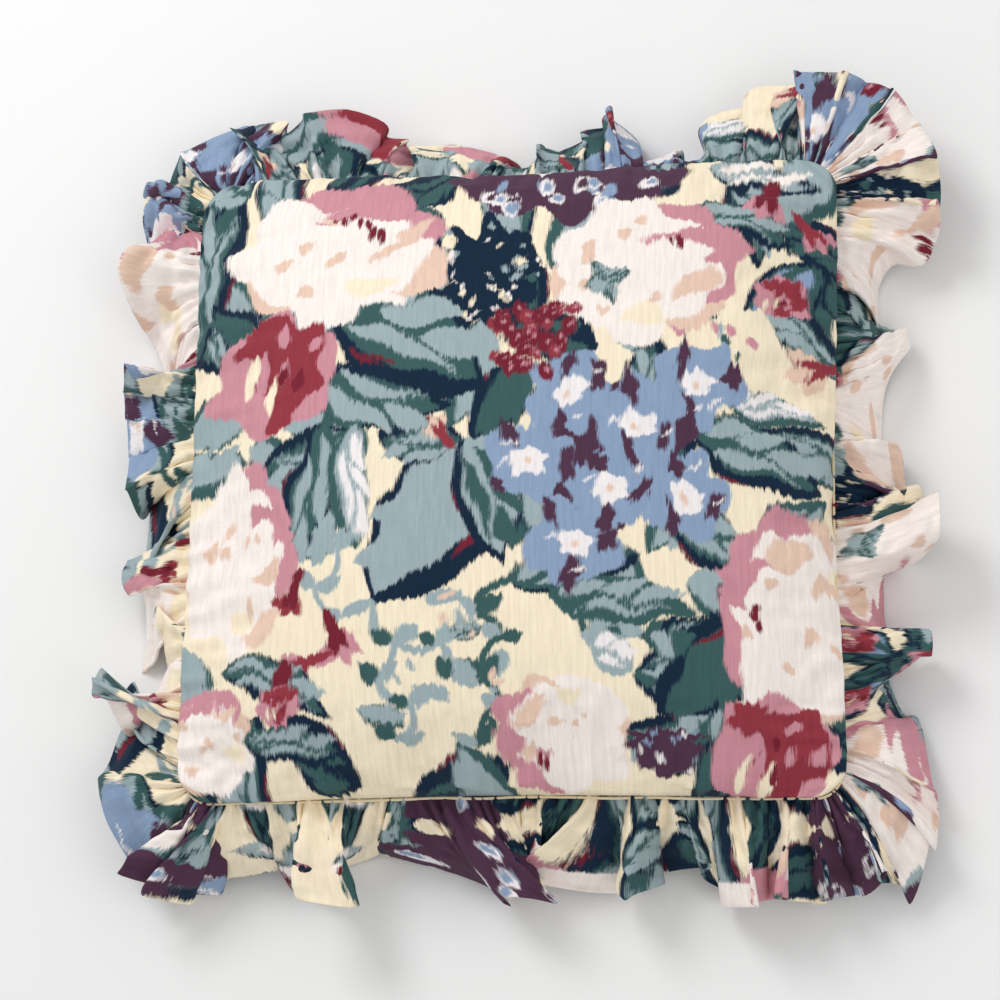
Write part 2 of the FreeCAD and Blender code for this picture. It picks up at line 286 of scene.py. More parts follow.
@dataclass(frozen=True)
class PrintedCotton:
    """Cotton with the dyed warp print, mixed from the mesh's dye layers."""

    streak: float = 4.0  # how far the dye runs along the warp, in millimetres
    blend: float = 1.5  # width over which two dyes meet, in millimetres
    roughness: float = 0.72

    def material(self) -> bpy.types.Material:
        """Build the finish.

        Returns:
            The material.
        """
        graph = Graph("printed_cotton")
        cloth = graph.attribute("cloth").out("Vector")
        broad = graph.noise(graph.place((420, 36, 0), cloth), 2.0, 0.6, colour=True)
        levels = self.levels(graph, cloth)
        top = levels[0]
        for level in levels[1:]:
            top = top.above(level)
        total, colour = None, None
        for dye, level in zip(LAYERS, levels):
            share = ((level - top) / self.blend + 1).clamp()
            tint = graph.vector("SCALE", dye.value[:3])
            graph.tree.links.new(share.socket, tint.socket.node.inputs["Scale"])
            colour = tint if colour is None else graph.vector("ADD", colour, tint)
            total = share if total is None else total + share
        mean = graph.vector("DIVIDE", colour, total)
        weave = cloth_weave(graph, cloth)
        mottle = graph.node("ShaderNodeSeparateColor", {}, {"Color": broad})
        tone = weave * 0.22 + mottle * 0.36 + 0.71
        final = graph.vector("MULTIPLY", mean, tone)
        crease = graph.noise(graph.place((90, 90, 90)), 3.0, 0.6)
        normal = graph.bump(weave * 0.4 + crease * 0.6, 0.5 * MM, 0.7)
        rough = self.roughness + crease * 0.12
        return graph.surface(
            Base_Color=final, Roughness=rough, Normal=normal, Sheen_Weight=0.03, Sheen_Roughness=0.5,
            Specular_IOR_Level=0.12)

    def levels(self, graph: Graph, cloth: Signal) -> list[Signal]:
        """Each dye's depth inside its own area, with the streaks of the warp added.

        Args:
            graph: The material's graph.
            cloth: Cloth coordinates in metres.

        Returns:
            Depth in millimetres, by dye.
        """
        levels: list[Signal] = []
        for group in range(len(LAYERS) // 3):
            stored = graph.node("ShaderNodeSeparateColor", {}, {"Color": graph.attribute(f"dyes_{group}")})
            shift = graph.vector("ADD", graph.place((1300, 85, 0), cloth), (0.0, 0.0, 7.3 * group))
            threads = graph.noise(shift, 2.0, 0.65, colour=True)
            fine = graph.node("ShaderNodeSeparateColor", {}, {"Color": threads})
            for name in ("Red", "Green", "Blue"):
                levels.append(stored.out(name) + (fine.out(name) - 0.5) * (2 * self.streak))
        return levels


@dataclass(frozen=True)
class PlainCotton:
    """Undyed or plainly dyed woven cotton."""

    name: str
    colour: Colour
    pitch: float = 0.6 * MM

    def material(self) -> bpy.types.Material:
        """Build the finish.

        Returns:
            The material.
        """
        graph = Graph(self.name)
        where = graph.node("ShaderNodeTexCoord").out("Object")
        weave = cloth_weave(graph, where, self.pitch)
        cloud = graph.noise(graph.place((60, 60, 60)), 3.0)
        tint = graph.mix(weave * 0.3 + cloud * 0.25, self.colour, darker(self.colour, 0.72))
        normal = graph.bump(weave * 0.6 + cloud * 0.4, 0.5 * MM, 0.7)
        return graph.surface(Base_Color=tint, Roughness=0.82 + cloud * 0.1, Normal=normal, Sheen_Weight=0.15)


@dataclass(frozen=True)
class ZipTape:
    """Polyester tape with a herringbone weave."""

    colour: Colour = shade(226, 208, 166)

    def material(self) -> bpy.types.Material:
        """Build the finish.

        Returns:
            The material.
        """
        graph = Graph("zip_tape")
        where = graph.node("ShaderNodeTexCoord").out("Object")
        axes = graph.node("ShaderNodeSeparateXYZ", {}, {"Vector": where})
        chevron = (axes.out("Y") * 420).frac() - 0.5
        ribs = ((axes.out("X") * 1400 + chevron.abs() * 4).sin() + 1) * 0.5
        dirt = graph.noise(graph.place((150, 150, 150)), 3.0)
        tint = graph.mix(ribs * 0.35 + dirt * 0.3, self.colour, darker(self.colour, 0.6))
        normal = graph.bump(ribs, 0.25 * MM, 0.6)
        return graph.surface(Base_Color=tint, Roughness=0.8 + dirt * 0.1, Normal=normal, Sheen_Weight=0.1)


@dataclass(frozen=True)
class ZipNylon:
    """Smooth nylon of the coils, dyed to match the tape."""

    colour: Colour = shade(218, 198, 154)

    def material(self) -> bpy.types.Material:
        """Build the finish.

        Returns:
            The material.
        """
        graph = Graph("zip_nylon")
        cloud = graph.noise(graph.place((900, 900, 900)), 3.0)
        tint = graph.mix(cloud * 0.4, self.colour, darker(self.colour, 0.75))
        normal = graph.bump(cloud, 0.08 * MM, 0.5)
        rough = 0.3 + cloud * 0.2
        return graph.surface(Base_Color=tint, Roughness=rough, Normal=normal, Subsurface_Weight=0.08)


@dataclass(frozen=True)
class ZipBrass:
    """Lacquered brass, rubbed along its edges."""

    colour: Colour = shade(190, 160, 104)
    worn: Colour = shade(232, 212, 160)

    def material(self) -> bpy.types.Material:
        """Build the finish.

        Returns:
            The material.
        """
        graph = Graph("zip_brass")
        edge = (graph.node("ShaderNodeNewGeometry").out("Pointiness") * 14 - 6.9).clamp()
        smear = graph.noise(graph.place((700, 700, 700)), 4.0, 0.6)
        scratch = graph.noise(graph.place((4000, 260, 260)), 2.0)
        tint = graph.mix((edge + smear * 0.3).clamp(), self.colour, self.worn)
        normal = graph.bump(scratch * 0.5 + smear * 0.5, 0.05 * MM, 0.5)
        rough = 0.24 + smear * 0.25 - edge * 0.08
        return graph.surface(Base_Color=tint, Metallic=1.0, Roughness=rough, Normal=normal)


@dataclass(frozen=True)
class FibreFill:
    """Loose white polyester fibre."""

    colour: Colour = shade(242, 242, 240)

    def material(self) -> bpy.types.Material:
        """Build the finish.

        Returns:
            The material.
        """
        graph = Graph("fibre_fill")
        strands = graph.noise(graph.place((240, 240, 900)), 5.0, 0.75)
        clumps = graph.noise(graph.place((45, 45, 45)), 3.0)
        tint = graph.mix(strands * 0.5, self.colour, shade(206, 208, 212))
        normal = graph.bump(strands * 0.5 + clumps * 0.5, 2 * MM, 1.0)
        return graph.surface(Base_Color=tint, Roughness=0.9 + strands * 0.1, Normal=normal, Sheen_Weight=0.3)


@dataclass(frozen=True)
class StudioFloor:
    """Plain pale floor."""

    colour: Colour = (0.93, 0.93, 0.925, 1.0)

    def material(self) -> bpy.types.Material:
        """Build the finish.

        Returns:
            The material.
        """
        graph = Graph("studio_floor")
        grain = graph.noise(graph.place((30, 30, 30)), 2.0)
        tint = graph.mix(grain * 0.04, self.colour, (0.88, 0.88, 0.88, 1.0))
        return graph.surface(Base_Color=tint, Roughness=0.9)


# ---------------------------------------------------------------- the print


def ripple(x: Array, y: Array, size: float, seed: int) -> Array:
    """Smooth uneven waves between about -1 and 1.

    Args:
        x: First coordinate.
        y: Second coordinate.
        size: Rough distance between crests, in the coordinates' unit.
        seed: Picks the pattern.

    Returns:
        A value for each point.
    """
    draw = np.random.default_rng(seed)
    total = np.zeros_like(x)
    waves = 6
    for _ in range(waves):
        turn, start, pace = draw.uniform(0, math.tau), draw.uniform(0, math.tau), draw.uniform(0.7, 1.5)
        total += np.sin((x * math.cos(turn) + y * math.sin(turn)) * math.tau * pace / size + start)
    return total / math.sqrt(waves)


class Canvas:
    """Cloth points in millimetres and how deep each lies inside every dye's area."""

    REACH = 60.0

    def __init__(self, x: Array, y: Array) -> None:
        """Start as plain ground, on coordinates that waver so that every outline does.

        Args:
            x: Place of each point across the cloth.
            y: Place along the warp.
        """
        self.x = x + 1.8 * ripple(x, y, 42, 11)
        self.y = y + 2.4 * ripple(x, y, 46, 13) + 1.0 * ripple(x, y * 0.1, 4.2, 14)
        self.fields = np.full((len(LAYERS), len(x)), -self.REACH)
        self.fields[LAYERS.index(Dye.CREAM)] = self.REACH

    def blob(self, dye: Dye, at: Pair, size: Pair, turn: float = 0.0,
             lobes: int = 7, wave: float = 0.1, seed: int = 1) -> None:
        """Paint a lobed oval.

        Args:
            dye: Its dye.
            at: Its middle.
            size: Half its width and half its height.
            turn: Turned anticlockwise, in degrees.
            lobes: How many lobes its edge has.
            wave: Their depth as a share of the radius.
            seed: Picks where they fall.
        """
        draw = np.random.default_rng(seed)
        near = self.near([np.array(at)], max(size) * (1 + 2 * wave) + 12)
        c, s = math.cos(math.radians(turn)), math.sin(math.radians(turn))
        dx, dy = self.x[near] - at[0], self.y[near] - at[1]
        u, v = (dx * c + dy * s) / size[0], (dy * c - dx * s) / size[1]
        angle = np.arctan2(v, u)
        edge = 1 + wave * np.cos(lobes * angle + draw.uniform(0, math.tau))
        edge += 0.5 * wave * np.cos((lobes + 3) * angle + draw.uniform(0, math.tau))
        edge += 0.6 * wave * np.cos(2 * angle + draw.uniform(0, math.tau))
        self.paint_near(dye, (edge - np.hypot(u, v)) * min(size), near)

    def leaf(self, dye: Dye, base: Pair, tip: Pair, width: float,
             bend: float = 0.0, fullest: float = 0.45, inset: float = 0.0) -> None:
        """Paint a pointed leaf.

        Args:
            dye: Its dye.
            base: Where the stalk joins.
            tip: Its point.
            width: Half its greatest width.
            bend: How far its middle line bows to the left.
            fullest: Share of the length at which it is widest.
            inset: Taken off all round.
        """
        dx, dy = tip[0] - base[0], tip[1] - base[1]
        length = math.hypot(dx, dy)
        near = self.near([np.array(base), np.array(tip)], width + abs(bend) + 12)
        x, y = self.x[near] - base[0], self.y[near] - base[1]
        t = (x * dx + y * dy) / length**2
        side = (y * dx - x * dy) / length
        held = np.clip(t, 0, 1)
        power = math.log(0.5) / math.log(fullest)
        half = width * np.sin(math.pi * held**power) ** 0.85
        side = side - bend * 4 * held * (1 - held)
        beyond = np.maximum(np.maximum(-t, t - 1), 0) * length
        self.paint_near(dye, (half - np.abs(side)) * 0.85 - beyond - inset, near)

    def stroke(self, dye: Dye, points: Sequence[Pair], width: float, taper: float = 0.6) -> None:
        """Paint a line of the brush along a smooth curve.

        Args:
            dye: Its dye.
            points: Two ends with a point between that it bends towards, or two ends alone.
            width: Half its width at its middle.
            taper: How much thinner its ends are.
        """
        ends = [np.array(p, float) for p in points]
        if len(ends) == 2:
            ends.insert(1, (ends[0] + ends[1]) / 2)
        steps = 15
        path = []
        for i in range(steps + 1):
            t = i / steps
            path.append((1 - t) ** 2 * ends[0] + 2 * t * (1 - t) * ends[1] + t**2 * ends[2])
        near = self.near(path, width + 12)
        x, y = self.x[near], self.y[near]
        best = np.full_like(x, -self.REACH)
        for i in range(steps):
            (ax, ay), (bx, by) = path[i], path[i + 1]
            run = (bx - ax) ** 2 + (by - ay) ** 2
            t = np.clip(((x - ax) * (bx - ax) + (y - ay) * (by - ay)) / run, 0, 1)
            along = (i + t) / steps
            half = width * (1 - taper * np.abs(2 * along - 1) ** 1.5)
            best = np.maximum(best, half - np.hypot(x - ax - t * (bx - ax), y - ay - t * (by - ay)))
        self.paint_near(dye, best, near)

    def near(self, path: Iterable[Array], margin: float) -> Array:
        """Find the points in a path's box.

        Args:
            path: Points of the path.
            margin: Added all round.

        Returns:
            True for each cloth point inside.
        """
        corners = np.array(list(path))
        low, high = corners.min(0) - margin, corners.max(0) + margin
        return (self.x > low[0]) & (self.x < high[0]) & (self.y > low[1]) & (self.y < high[1])

    def paint_near(self, dye: Dye, depth: Array, near: Array) -> None:
        """Lay a dye over some of the points.

        Args:
            dye: The dye.
            depth: How deep each of those points lies inside the shape.
            near: Which of all the points those are.
        """
        part = np.clip(depth, -self.REACH, self.REACH)
        chosen = LAYERS.index(dye)
        fields = self.fields[:, near]
        kept = np.maximum(fields[chosen], part)
        fields = np.minimum(fields, -part)
        fields[chosen] = kept
        self.fields[:, near] = fields

    def dot(self, dye: Dye, at: Pair, radius: float, stretch: float = 1.0) -> None:
        """Paint a small spot, which may be stretched along the warp."""
        near = self.near([np.array(at)], radius * max(stretch, 1) + 10)
        self.paint_near(dye, radius - np.hypot(self.x[near] - at[0], (self.y[near] - at[1]) / stretch), near)


class Motif(Protocol):
    """Anything that can be painted on the cloth."""

    def paint(self, canvas: Canvas) -> None:
        """Paint it."""


@dataclass(frozen=True)
class Bloom:
    """A large open flower with soft petals."""

    at: Pair
    size: Pair
    petals: Dye = Dye.IVORY
    shadow: Dye = Dye.PEACH
    blush: Dye = Dye.PINK
    heart: Dye = Dye.BURGUNDY
    turn: float = 0.0
    lit_from: float = 110.0  # direction in which the blush lies, in degrees
    hearts: int = 5
    seed: int = 1

    def point(self, share: float, angle: float) -> Pair:
        """Find a point inside the flower.

        Args:
            share: Its distance from the middle, as a share of the radius.
            angle: Its direction, in degrees.

        Returns:
            The place on the cloth.
        """
        a = math.radians(angle + self.turn)
        across, up = share * self.size[0] * math.cos(a), share * self.size[1] * math.sin(a)
        return self.at[0] + across, self.at[1] + up

    def paint(self, canvas: Canvas) -> None:
        """Paint the outer petals, the pale middle, the blush, dabs of shadow and the heart.

        Args:
            canvas: Where to paint.
        """
        draw = np.random.default_rng(self.seed)
        w, h = self.size
        petals = 9
        for i in range(petals):
            angle = self.lit_from + 360 * i / petals + draw.uniform(-9, 9)
            dye = self.blush if i in (0, 1, petals - 1) else self.shadow if i % 3 == 1 else self.petals
            size = (w * draw.uniform(0.34, 0.42), h * draw.uniform(0.34, 0.42))
            middle = self.point(draw.uniform(0.58, 0.68), angle)
            canvas.blob(dye, middle, size, self.turn, 3, 0.06, self.seed + i)
        patches = (  # dye, share and direction of its middle, size, turn, lobes, their depth, seed
            (self.petals, 0.06, 150, 0.84, 0.78, self.turn, 8, 0.06, 0),
            (self.blush, 0.56, 0, 0.52, 0.22, self.turn, 5, 0.12, 2),
            (self.shadow, 0.56, -50, 0.3, 0.13, 35, 3, 0.12, 4),
            (Dye.CREAM, 0.64, -120, 0.22, 0.15, 0, 3, 0.12, 5),
            (self.petals, 0.24, -8, 0.44, 0.28, self.turn + 8, 5, 0.1, 3),
        )
        for dye, share, angle, wide, high, turn, lobes, wave, seed in patches:
            middle = self.point(share, self.lit_from + angle)
            canvas.blob(dye, middle, (w * wide, h * high), turn, lobes, wave, self.seed + seed)
        for i in range(7):
            spot = self.point(math.sqrt(draw.uniform(0.02, 0.5)), draw.uniform(0, 360))
            size = (w * draw.uniform(0.05, 0.1), h * draw.uniform(0.05, 0.11))
            canvas.blob(self.shadow, spot, size, draw.uniform(-40, 40), 3, 0.15, self.seed + i)
        for i in range(self.hearts):
            angle = self.lit_from + 34 - 9.5 * i + draw.uniform(-3, 3)
            start = self.point(draw.uniform(0.44, 0.56), angle)
            end = (start[0] + draw.uniform(-2, 2), start[1] - draw.uniform(5, 9))
            canvas.stroke(self.heart, (start, end), draw.uniform(2.0, 3.4))


@dataclass(frozen=True)
class Rose:
    """A full dark rose of overlapping petals."""

    at: Pair
    radius: float
    base: Dye = Dye.PINK
    petal: Dye = Dye.ROSE
    deep: Dye = Dye.BURGUNDY
    flame: Dye = Dye.CREAM
    seed: int = 1

    def paint(self, canvas: Canvas) -> None:
        """Paint the base, dark petals on one side, pale flames on the other and a curled heart.

        Args:
            canvas: Where to paint.
        """
        draw = np.random.default_rng(self.seed)
        r, (x, y) = self.radius, self.at
        canvas.blob(self.base, (x, y), (r, r * 0.95), 0, 6, 0.07, self.seed)
        canvas.blob(self.petal, (x + r * 0.3, y + r * 0.1), (r * 0.58, r * 0.72), -20, 5, 0.12, self.seed + 1)
        canvas.blob(self.petal, (x - r * 0.3, y + r * 0.6), (r * 0.42, r * 0.24), 20, 5, 0.14, self.seed + 2)
        canvas.blob(self.petal, (x + r * 0.15, y - r * 0.6), (r * 0.26, r * 0.3), -40, 4, 0.14, self.seed + 3)
        for i in range(4):
            foot = (x - r * 0.66 + r * 0.2 * i, y - r * draw.uniform(0.3, 0.7))
            end = (foot[0] + r * 0.1, foot[1] + r * 0.7)
            canvas.leaf(self.flame if i % 2 else self.base, foot, end, r * 0.1, 1)
        for i in range(5):
            foot = (x + r * draw.uniform(-0.1, 0.7), y + r * draw.uniform(-0.5, 0.4))
            end = (foot[0] + r * 0.1, foot[1] + r * draw.uniform(0.24, 0.4))
            canvas.leaf(self.base if i % 3 else self.deep, foot, end, r * 0.09)


@dataclass(frozen=True)
class Leaf:
    """A broad leaf with a dark edge, a lighter blade and streaks for veins."""

    base: Pair
    tip: Pair
    width: float
    bend: float = 0.0
    rim: Dye = Dye.NAVY
    blade: Dye = Dye.TEAL
    light: Dye = Dye.SAGE
    shown: float = 0.76  # share of the width that the blade leaves of the rim
    side: float = 0.35  # how far the light lies to the left of the middle line, as a share of the width
    seed: int = 1

    def paint(self, canvas: Canvas) -> None:
        """Paint the rim, the blade, pale flames along the veins and the middle vein.

        Args:
            canvas: Where to paint.
        """
        draw = np.random.default_rng(self.seed)
        bx, by = self.base
        dx, dy = self.tip[0] - bx, self.tip[1] - by
        length = math.hypot(dx, dy)
        nx, ny = -dy / length, dx / length
        canvas.leaf(self.rim, self.base, self.tip, self.width, self.bend)
        shift = self.side * self.width * 0.35
        base = (bx + nx * shift, by + ny * shift)
        tip = (self.tip[0] - dx * 0.06 + nx * shift, self.tip[1] - dy * 0.06 + ny * shift)
        canvas.leaf(self.blade, base, tip, self.width * self.shown, self.bend, 0.42, 0.4)
        flames = 3
        for i in range(flames):
            t = 0.08 + 0.24 * i
            bow = self.bend * 4 * t * (1 - t)
            away = self.side * self.width * 0.5
            foot = (bx + dx * t + nx * (bow + away * 0.3), by + dy * t + ny * (bow + away * 0.3))
            reach = self.width * (0.9 if self.side > 0 else -0.9) * math.sin(math.pi * min(1, t + 0.25))
            end = (foot[0] + nx * reach + dx * 0.34, foot[1] + ny * reach + dy * 0.34)
            canvas.leaf(self.light, foot, end, self.width * 0.24 + 1, draw.uniform(-2, 2), 0.5)
        foot = (bx + dx * 0.2 - nx * self.side * self.width, by + dy * 0.2 - ny * self.side * self.width)
        end = (bx + dx * 0.85, by + dy * 0.85)
        canvas.leaf(self.light, foot, end, self.width * 0.16 + 1, self.bend, 0.4)
        if self.rim is Dye.NAVY and self.width > 17:
            away = self.side * self.width * 2.1
            foot = (bx + dx * 0.3 - nx * away, by + dy * 0.3 - ny * away)
            end = (foot[0] + dx * 0.25, foot[1] + dy * 0.25)
            canvas.stroke(Dye.BURGUNDY, (foot, end), self.width * 0.06)
        middle = (bx + dx * 0.45 + nx * self.bend * 2, by + dy * 0.45 + ny * self.bend * 2)
        canvas.stroke(self.blade, (self.base, middle, (bx + dx * 0.85, by + dy * 0.85)), 1.5)


@dataclass(frozen=True)
class Mophead:
    """A round head of large flat florets with pale eyes and dark gaps."""

    at: Pair
    size: Pair
    florets: tuple[Pair, ...]
    petal: Dye = Dye.BLUE
    gap: Dye = Dye.PLUM
    eye: Dye = Dye.FROST
    floret: float = 27.0
    seed: int = 1

    def paint(self, canvas: Canvas) -> None:
        """Paint the florets, the dark gaps between them, pale dashes and the eyes.

        Args:
            canvas: Where to paint.
        """
        draw = np.random.default_rng(self.seed)
        canvas.blob(self.gap, self.at, (self.size[0] * 0.8, self.size[1] * 0.8), 0, 7, 0.1, self.seed)
        for number, (x, y) in enumerate(self.florets):
            r = self.floret * draw.uniform(0.9, 1.18)
            canvas.blob(self.petal, (x, y), (r, r * 0.96), draw.uniform(0, 72), 5, 0.12, self.seed + number)
        for number, (x, y) in enumerate(self.florets):
            for i in range(3):
                a = math.tau * i / 3 + draw.uniform(-0.6, 0.6)
                reach = self.floret * draw.uniform(0.7, 1.0)
                spot = (x + reach * math.cos(a), y + reach * math.sin(a))
                size = (self.floret * draw.uniform(0.14, 0.24), self.floret * draw.uniform(0.26, 0.46))
                canvas.blob(self.gap, spot, size, draw.uniform(-25, 25), 4, 0.2, self.seed + i)
            for i in range(2):
                a = draw.uniform(0, math.tau)
                spot = (x + self.floret * 0.72 * math.cos(a), y + self.floret * 0.72 * math.sin(a))
                canvas.stroke(self.eye, (spot, (spot[0] + self.floret * 0.3, spot[1] + 3)), 1.1)
            eye = self.floret * draw.uniform(0.38, 0.54)
            canvas.blob(self.eye, (x + 1, y), (eye, eye * 0.85), 0, 5, 0.12, self.seed + number)
            canvas.dot(Dye.PEACH, (x + draw.uniform(-1, 1), y - 1), self.floret * 0.09, 1.3)


@dataclass(frozen=True)
class Lace:
    """A patch of dark ground under a net of small pale and mid florets."""

    at: Pair
    size: Pair
    ground: Dye = Dye.PLUM
    floret: Dye = Dye.BLUE
    net: Dye = Dye.FROST
    count: int = 26
    radius: float = 5.0
    seed: int = 1

    def paint(self, canvas: Canvas) -> None:
        """Paint the ground, then each floret on its pale patch.

        Args:
            canvas: Where to paint.
        """
        draw = np.random.default_rng(self.seed)
        canvas.blob(self.ground, self.at, self.size, 0, 8, 0.12, self.seed)
        for i in range(self.count):
            a, share = draw.uniform(0, math.tau), math.sqrt(draw.uniform(0, 0.7))
            x = self.at[0] + self.size[0] * share * math.cos(a)
            y = self.at[1] + self.size[1] * share * math.sin(a)
            if i % 2:
                canvas.dot(self.net, (x, y), self.radius * 1.15, 1.2)
            inside = self.floret if i % 3 else self.ground
            canvas.dot(inside, (x + 1, y + 1), self.radius * draw.uniform(0.6, 0.95), 1.2)


@dataclass(frozen=True)
class Undergrowth:
    """Loose leaves in every direction that fill the ground, apart from clearings."""

    spacing: float = 52.0
    clearings: tuple[tuple[float, float, float, float], ...] = ()  # middles and half sizes
    seed: int = 1
    tones: tuple[tuple[Dye, Dye, Dye], ...] = (
        (Dye.NAVY, Dye.TEAL, Dye.SAGE), (Dye.NAVY, Dye.NAVY, Dye.TEAL), (Dye.TEAL, Dye.SAGE, Dye.SAGE))

    def paint(self, canvas: Canvas) -> None:
        """Paint a leaf at each uneven step of a grid outside the clearings.

        Args:
            canvas: Where to paint.
        """
        draw = np.random.default_rng(self.seed)
        count = int(FloralPrint.REPEAT / self.spacing)
        for i in range(count * count):
            x = (i % count + draw.uniform(0.1, 0.9)) * self.spacing - FloralPrint.REPEAT / 2
            y = (i // count + draw.uniform(0.1, 0.9)) * self.spacing - FloralPrint.REPEAT / 2
            a, long = draw.uniform(0, math.tau), self.spacing * draw.uniform(1.2, 1.7)
            rim, blade, light = self.tones[int(draw.integers(0, 3))]
            if any(((x - cx) / rx) ** 2 + ((y - cy) / ry) ** 2 < 1 for cx, cy, rx, ry in self.clearings):
                continue
            base = (x - math.cos(a) * long / 2, y - math.sin(a) * long / 2)
            tip = (x + math.cos(a) * long / 2, y + math.sin(a) * long / 2)
            Leaf(base, tip, self.spacing * 0.36, 3, rim, blade, light, seed=i).paint(canvas)


@dataclass(frozen=True)
class Berries:
    """A loose cluster of small round berries."""

    at: Pair
    spread: Pair
    count: int = 16
    dark: Dye = Dye.BURGUNDY
    bright: Dye = Dye.ROSE
    radius: float = 3.6
    seed: int = 1

    def paint(self, canvas: Canvas) -> None:
        """Paint each berry with a lighter spot.

        Args:
            canvas: Where to paint.
        """
        draw = np.random.default_rng(self.seed)
        for i in range(self.count):
            a, share = draw.uniform(0, math.tau), math.sqrt(draw.uniform(0, 1))
            x = self.at[0] + self.spread[0] * share * math.cos(a)
            y = self.at[1] + self.spread[1] * share * math.sin(a)
            radius = self.radius * draw.uniform(0.8, 1.25)
            canvas.dot(self.dark if i % 4 else self.bright, (x, y), radius, 1.1)
            canvas.dot(Dye.PINK, (x + 1, y + 1), self.radius * 0.32)


@dataclass(frozen=True)
class Bell:
    """A hanging bell flower with spread petals."""

    at: Pair
    size: float
    turn: float = -90.0  # the way that it hangs, in degrees
    cup: Dye = Dye.BURGUNDY
    skirt: Dye = Dye.PINK

    def paint(self, canvas: Canvas) -> None:
        """Paint the skirt, the cup and three petals.

        Args:
            canvas: Where to paint.
        """
        def spot(away: float, angle: float) -> Pair:
            """A point at a distance from the middle, in a direction from the axis."""
            a = math.radians(self.turn + angle)
            return self.at[0] + away * math.cos(a), self.at[1] + away * math.sin(a)

        s = self.size
        for angle in (-42, 0, 42):
            canvas.leaf(self.skirt, spot(s * 0.1, 0), spot(s * 1.05, angle), s * 0.26)
        for angle in (-24, 24):
            canvas.leaf(self.cup, spot(-s * 0.25, 0), spot(s * 0.72, angle), s * 0.2)
        canvas.leaf(self.cup, spot(-s * 0.85, 0), spot(s * 0.35, 0), s * 0.24)


@dataclass(frozen=True)
class Tendril:
    """A winding stem with small leaves."""

    points: tuple[Pair, ...]
    dye: Dye = Dye.SAGE
    leaves: Dye = Dye.TEAL
    width: float = 2.9
    leaf: float = 16.0

    def paint(self, canvas: Canvas) -> None:
        """Paint the stem in bends and a leaf at each.

        Args:
            canvas: Where to paint.
        """
        stops = self.points
        for i in range(len(stops) - 1):
            (ax, ay), (bx, by) = stops[i], stops[i + 1]
            way = 1 if i % 2 else -1
            bow = ((ax + bx) / 2 - way * (by - ay) * 0.35, (ay + by) / 2 + way * (bx - ax) * 0.35)
            canvas.stroke(self.dye, ((ax, ay), bow, (bx, by)), self.width, 0.2)
            end = (bx - way * self.leaf * 0.9, by + self.leaf * 0.7)
            canvas.leaf(self.leaves if i % 2 else self.dye, (bx, by), end, self.leaf * 0.38)
            end = (bx + way * self.leaf, by + self.leaf * 0.5)
            canvas.leaf(self.dye if i % 2 else self.leaves, (bx, by), end, self.leaf * 0.34)


@dataclass(frozen=True)
class Sprays:
    """A patch of dark ground broken by many small pale leaves."""

    at: Pair
    size: Pair
    ground: Dye | None = Dye.NAVY
    marks: tuple[Dye, ...] = (Dye.CREAM, Dye.SAGE, Dye.IVORY)
    count: int = 34
    mark: float = 6.5
    seed: int = 1

    def paint(self, canvas: Canvas) -> None:
        """Paint the ground and scatter the marks.

        Args:
            canvas: Where to paint.
        """
        draw = np.random.default_rng(self.seed)
        if self.ground is not None:
            canvas.blob(self.ground, self.at, self.size, 0, 9, 0.14, self.seed)
        for i in range(self.count):
            a, share = draw.uniform(0, math.tau), math.sqrt(draw.uniform(0, 1)) * 1.02
            x = self.at[0] + self.size[0] * share * math.cos(a)
            y = self.at[1] + self.size[1] * share * math.sin(a)
            lean, long = draw.uniform(0, math.tau), self.mark * draw.uniform(0.7, 1.3)
            end = (x + long * math.cos(lean), y + long * math.sin(lean))
            canvas.leaf(self.marks[i % len(self.marks)], (x, y), end, long * 0.27)


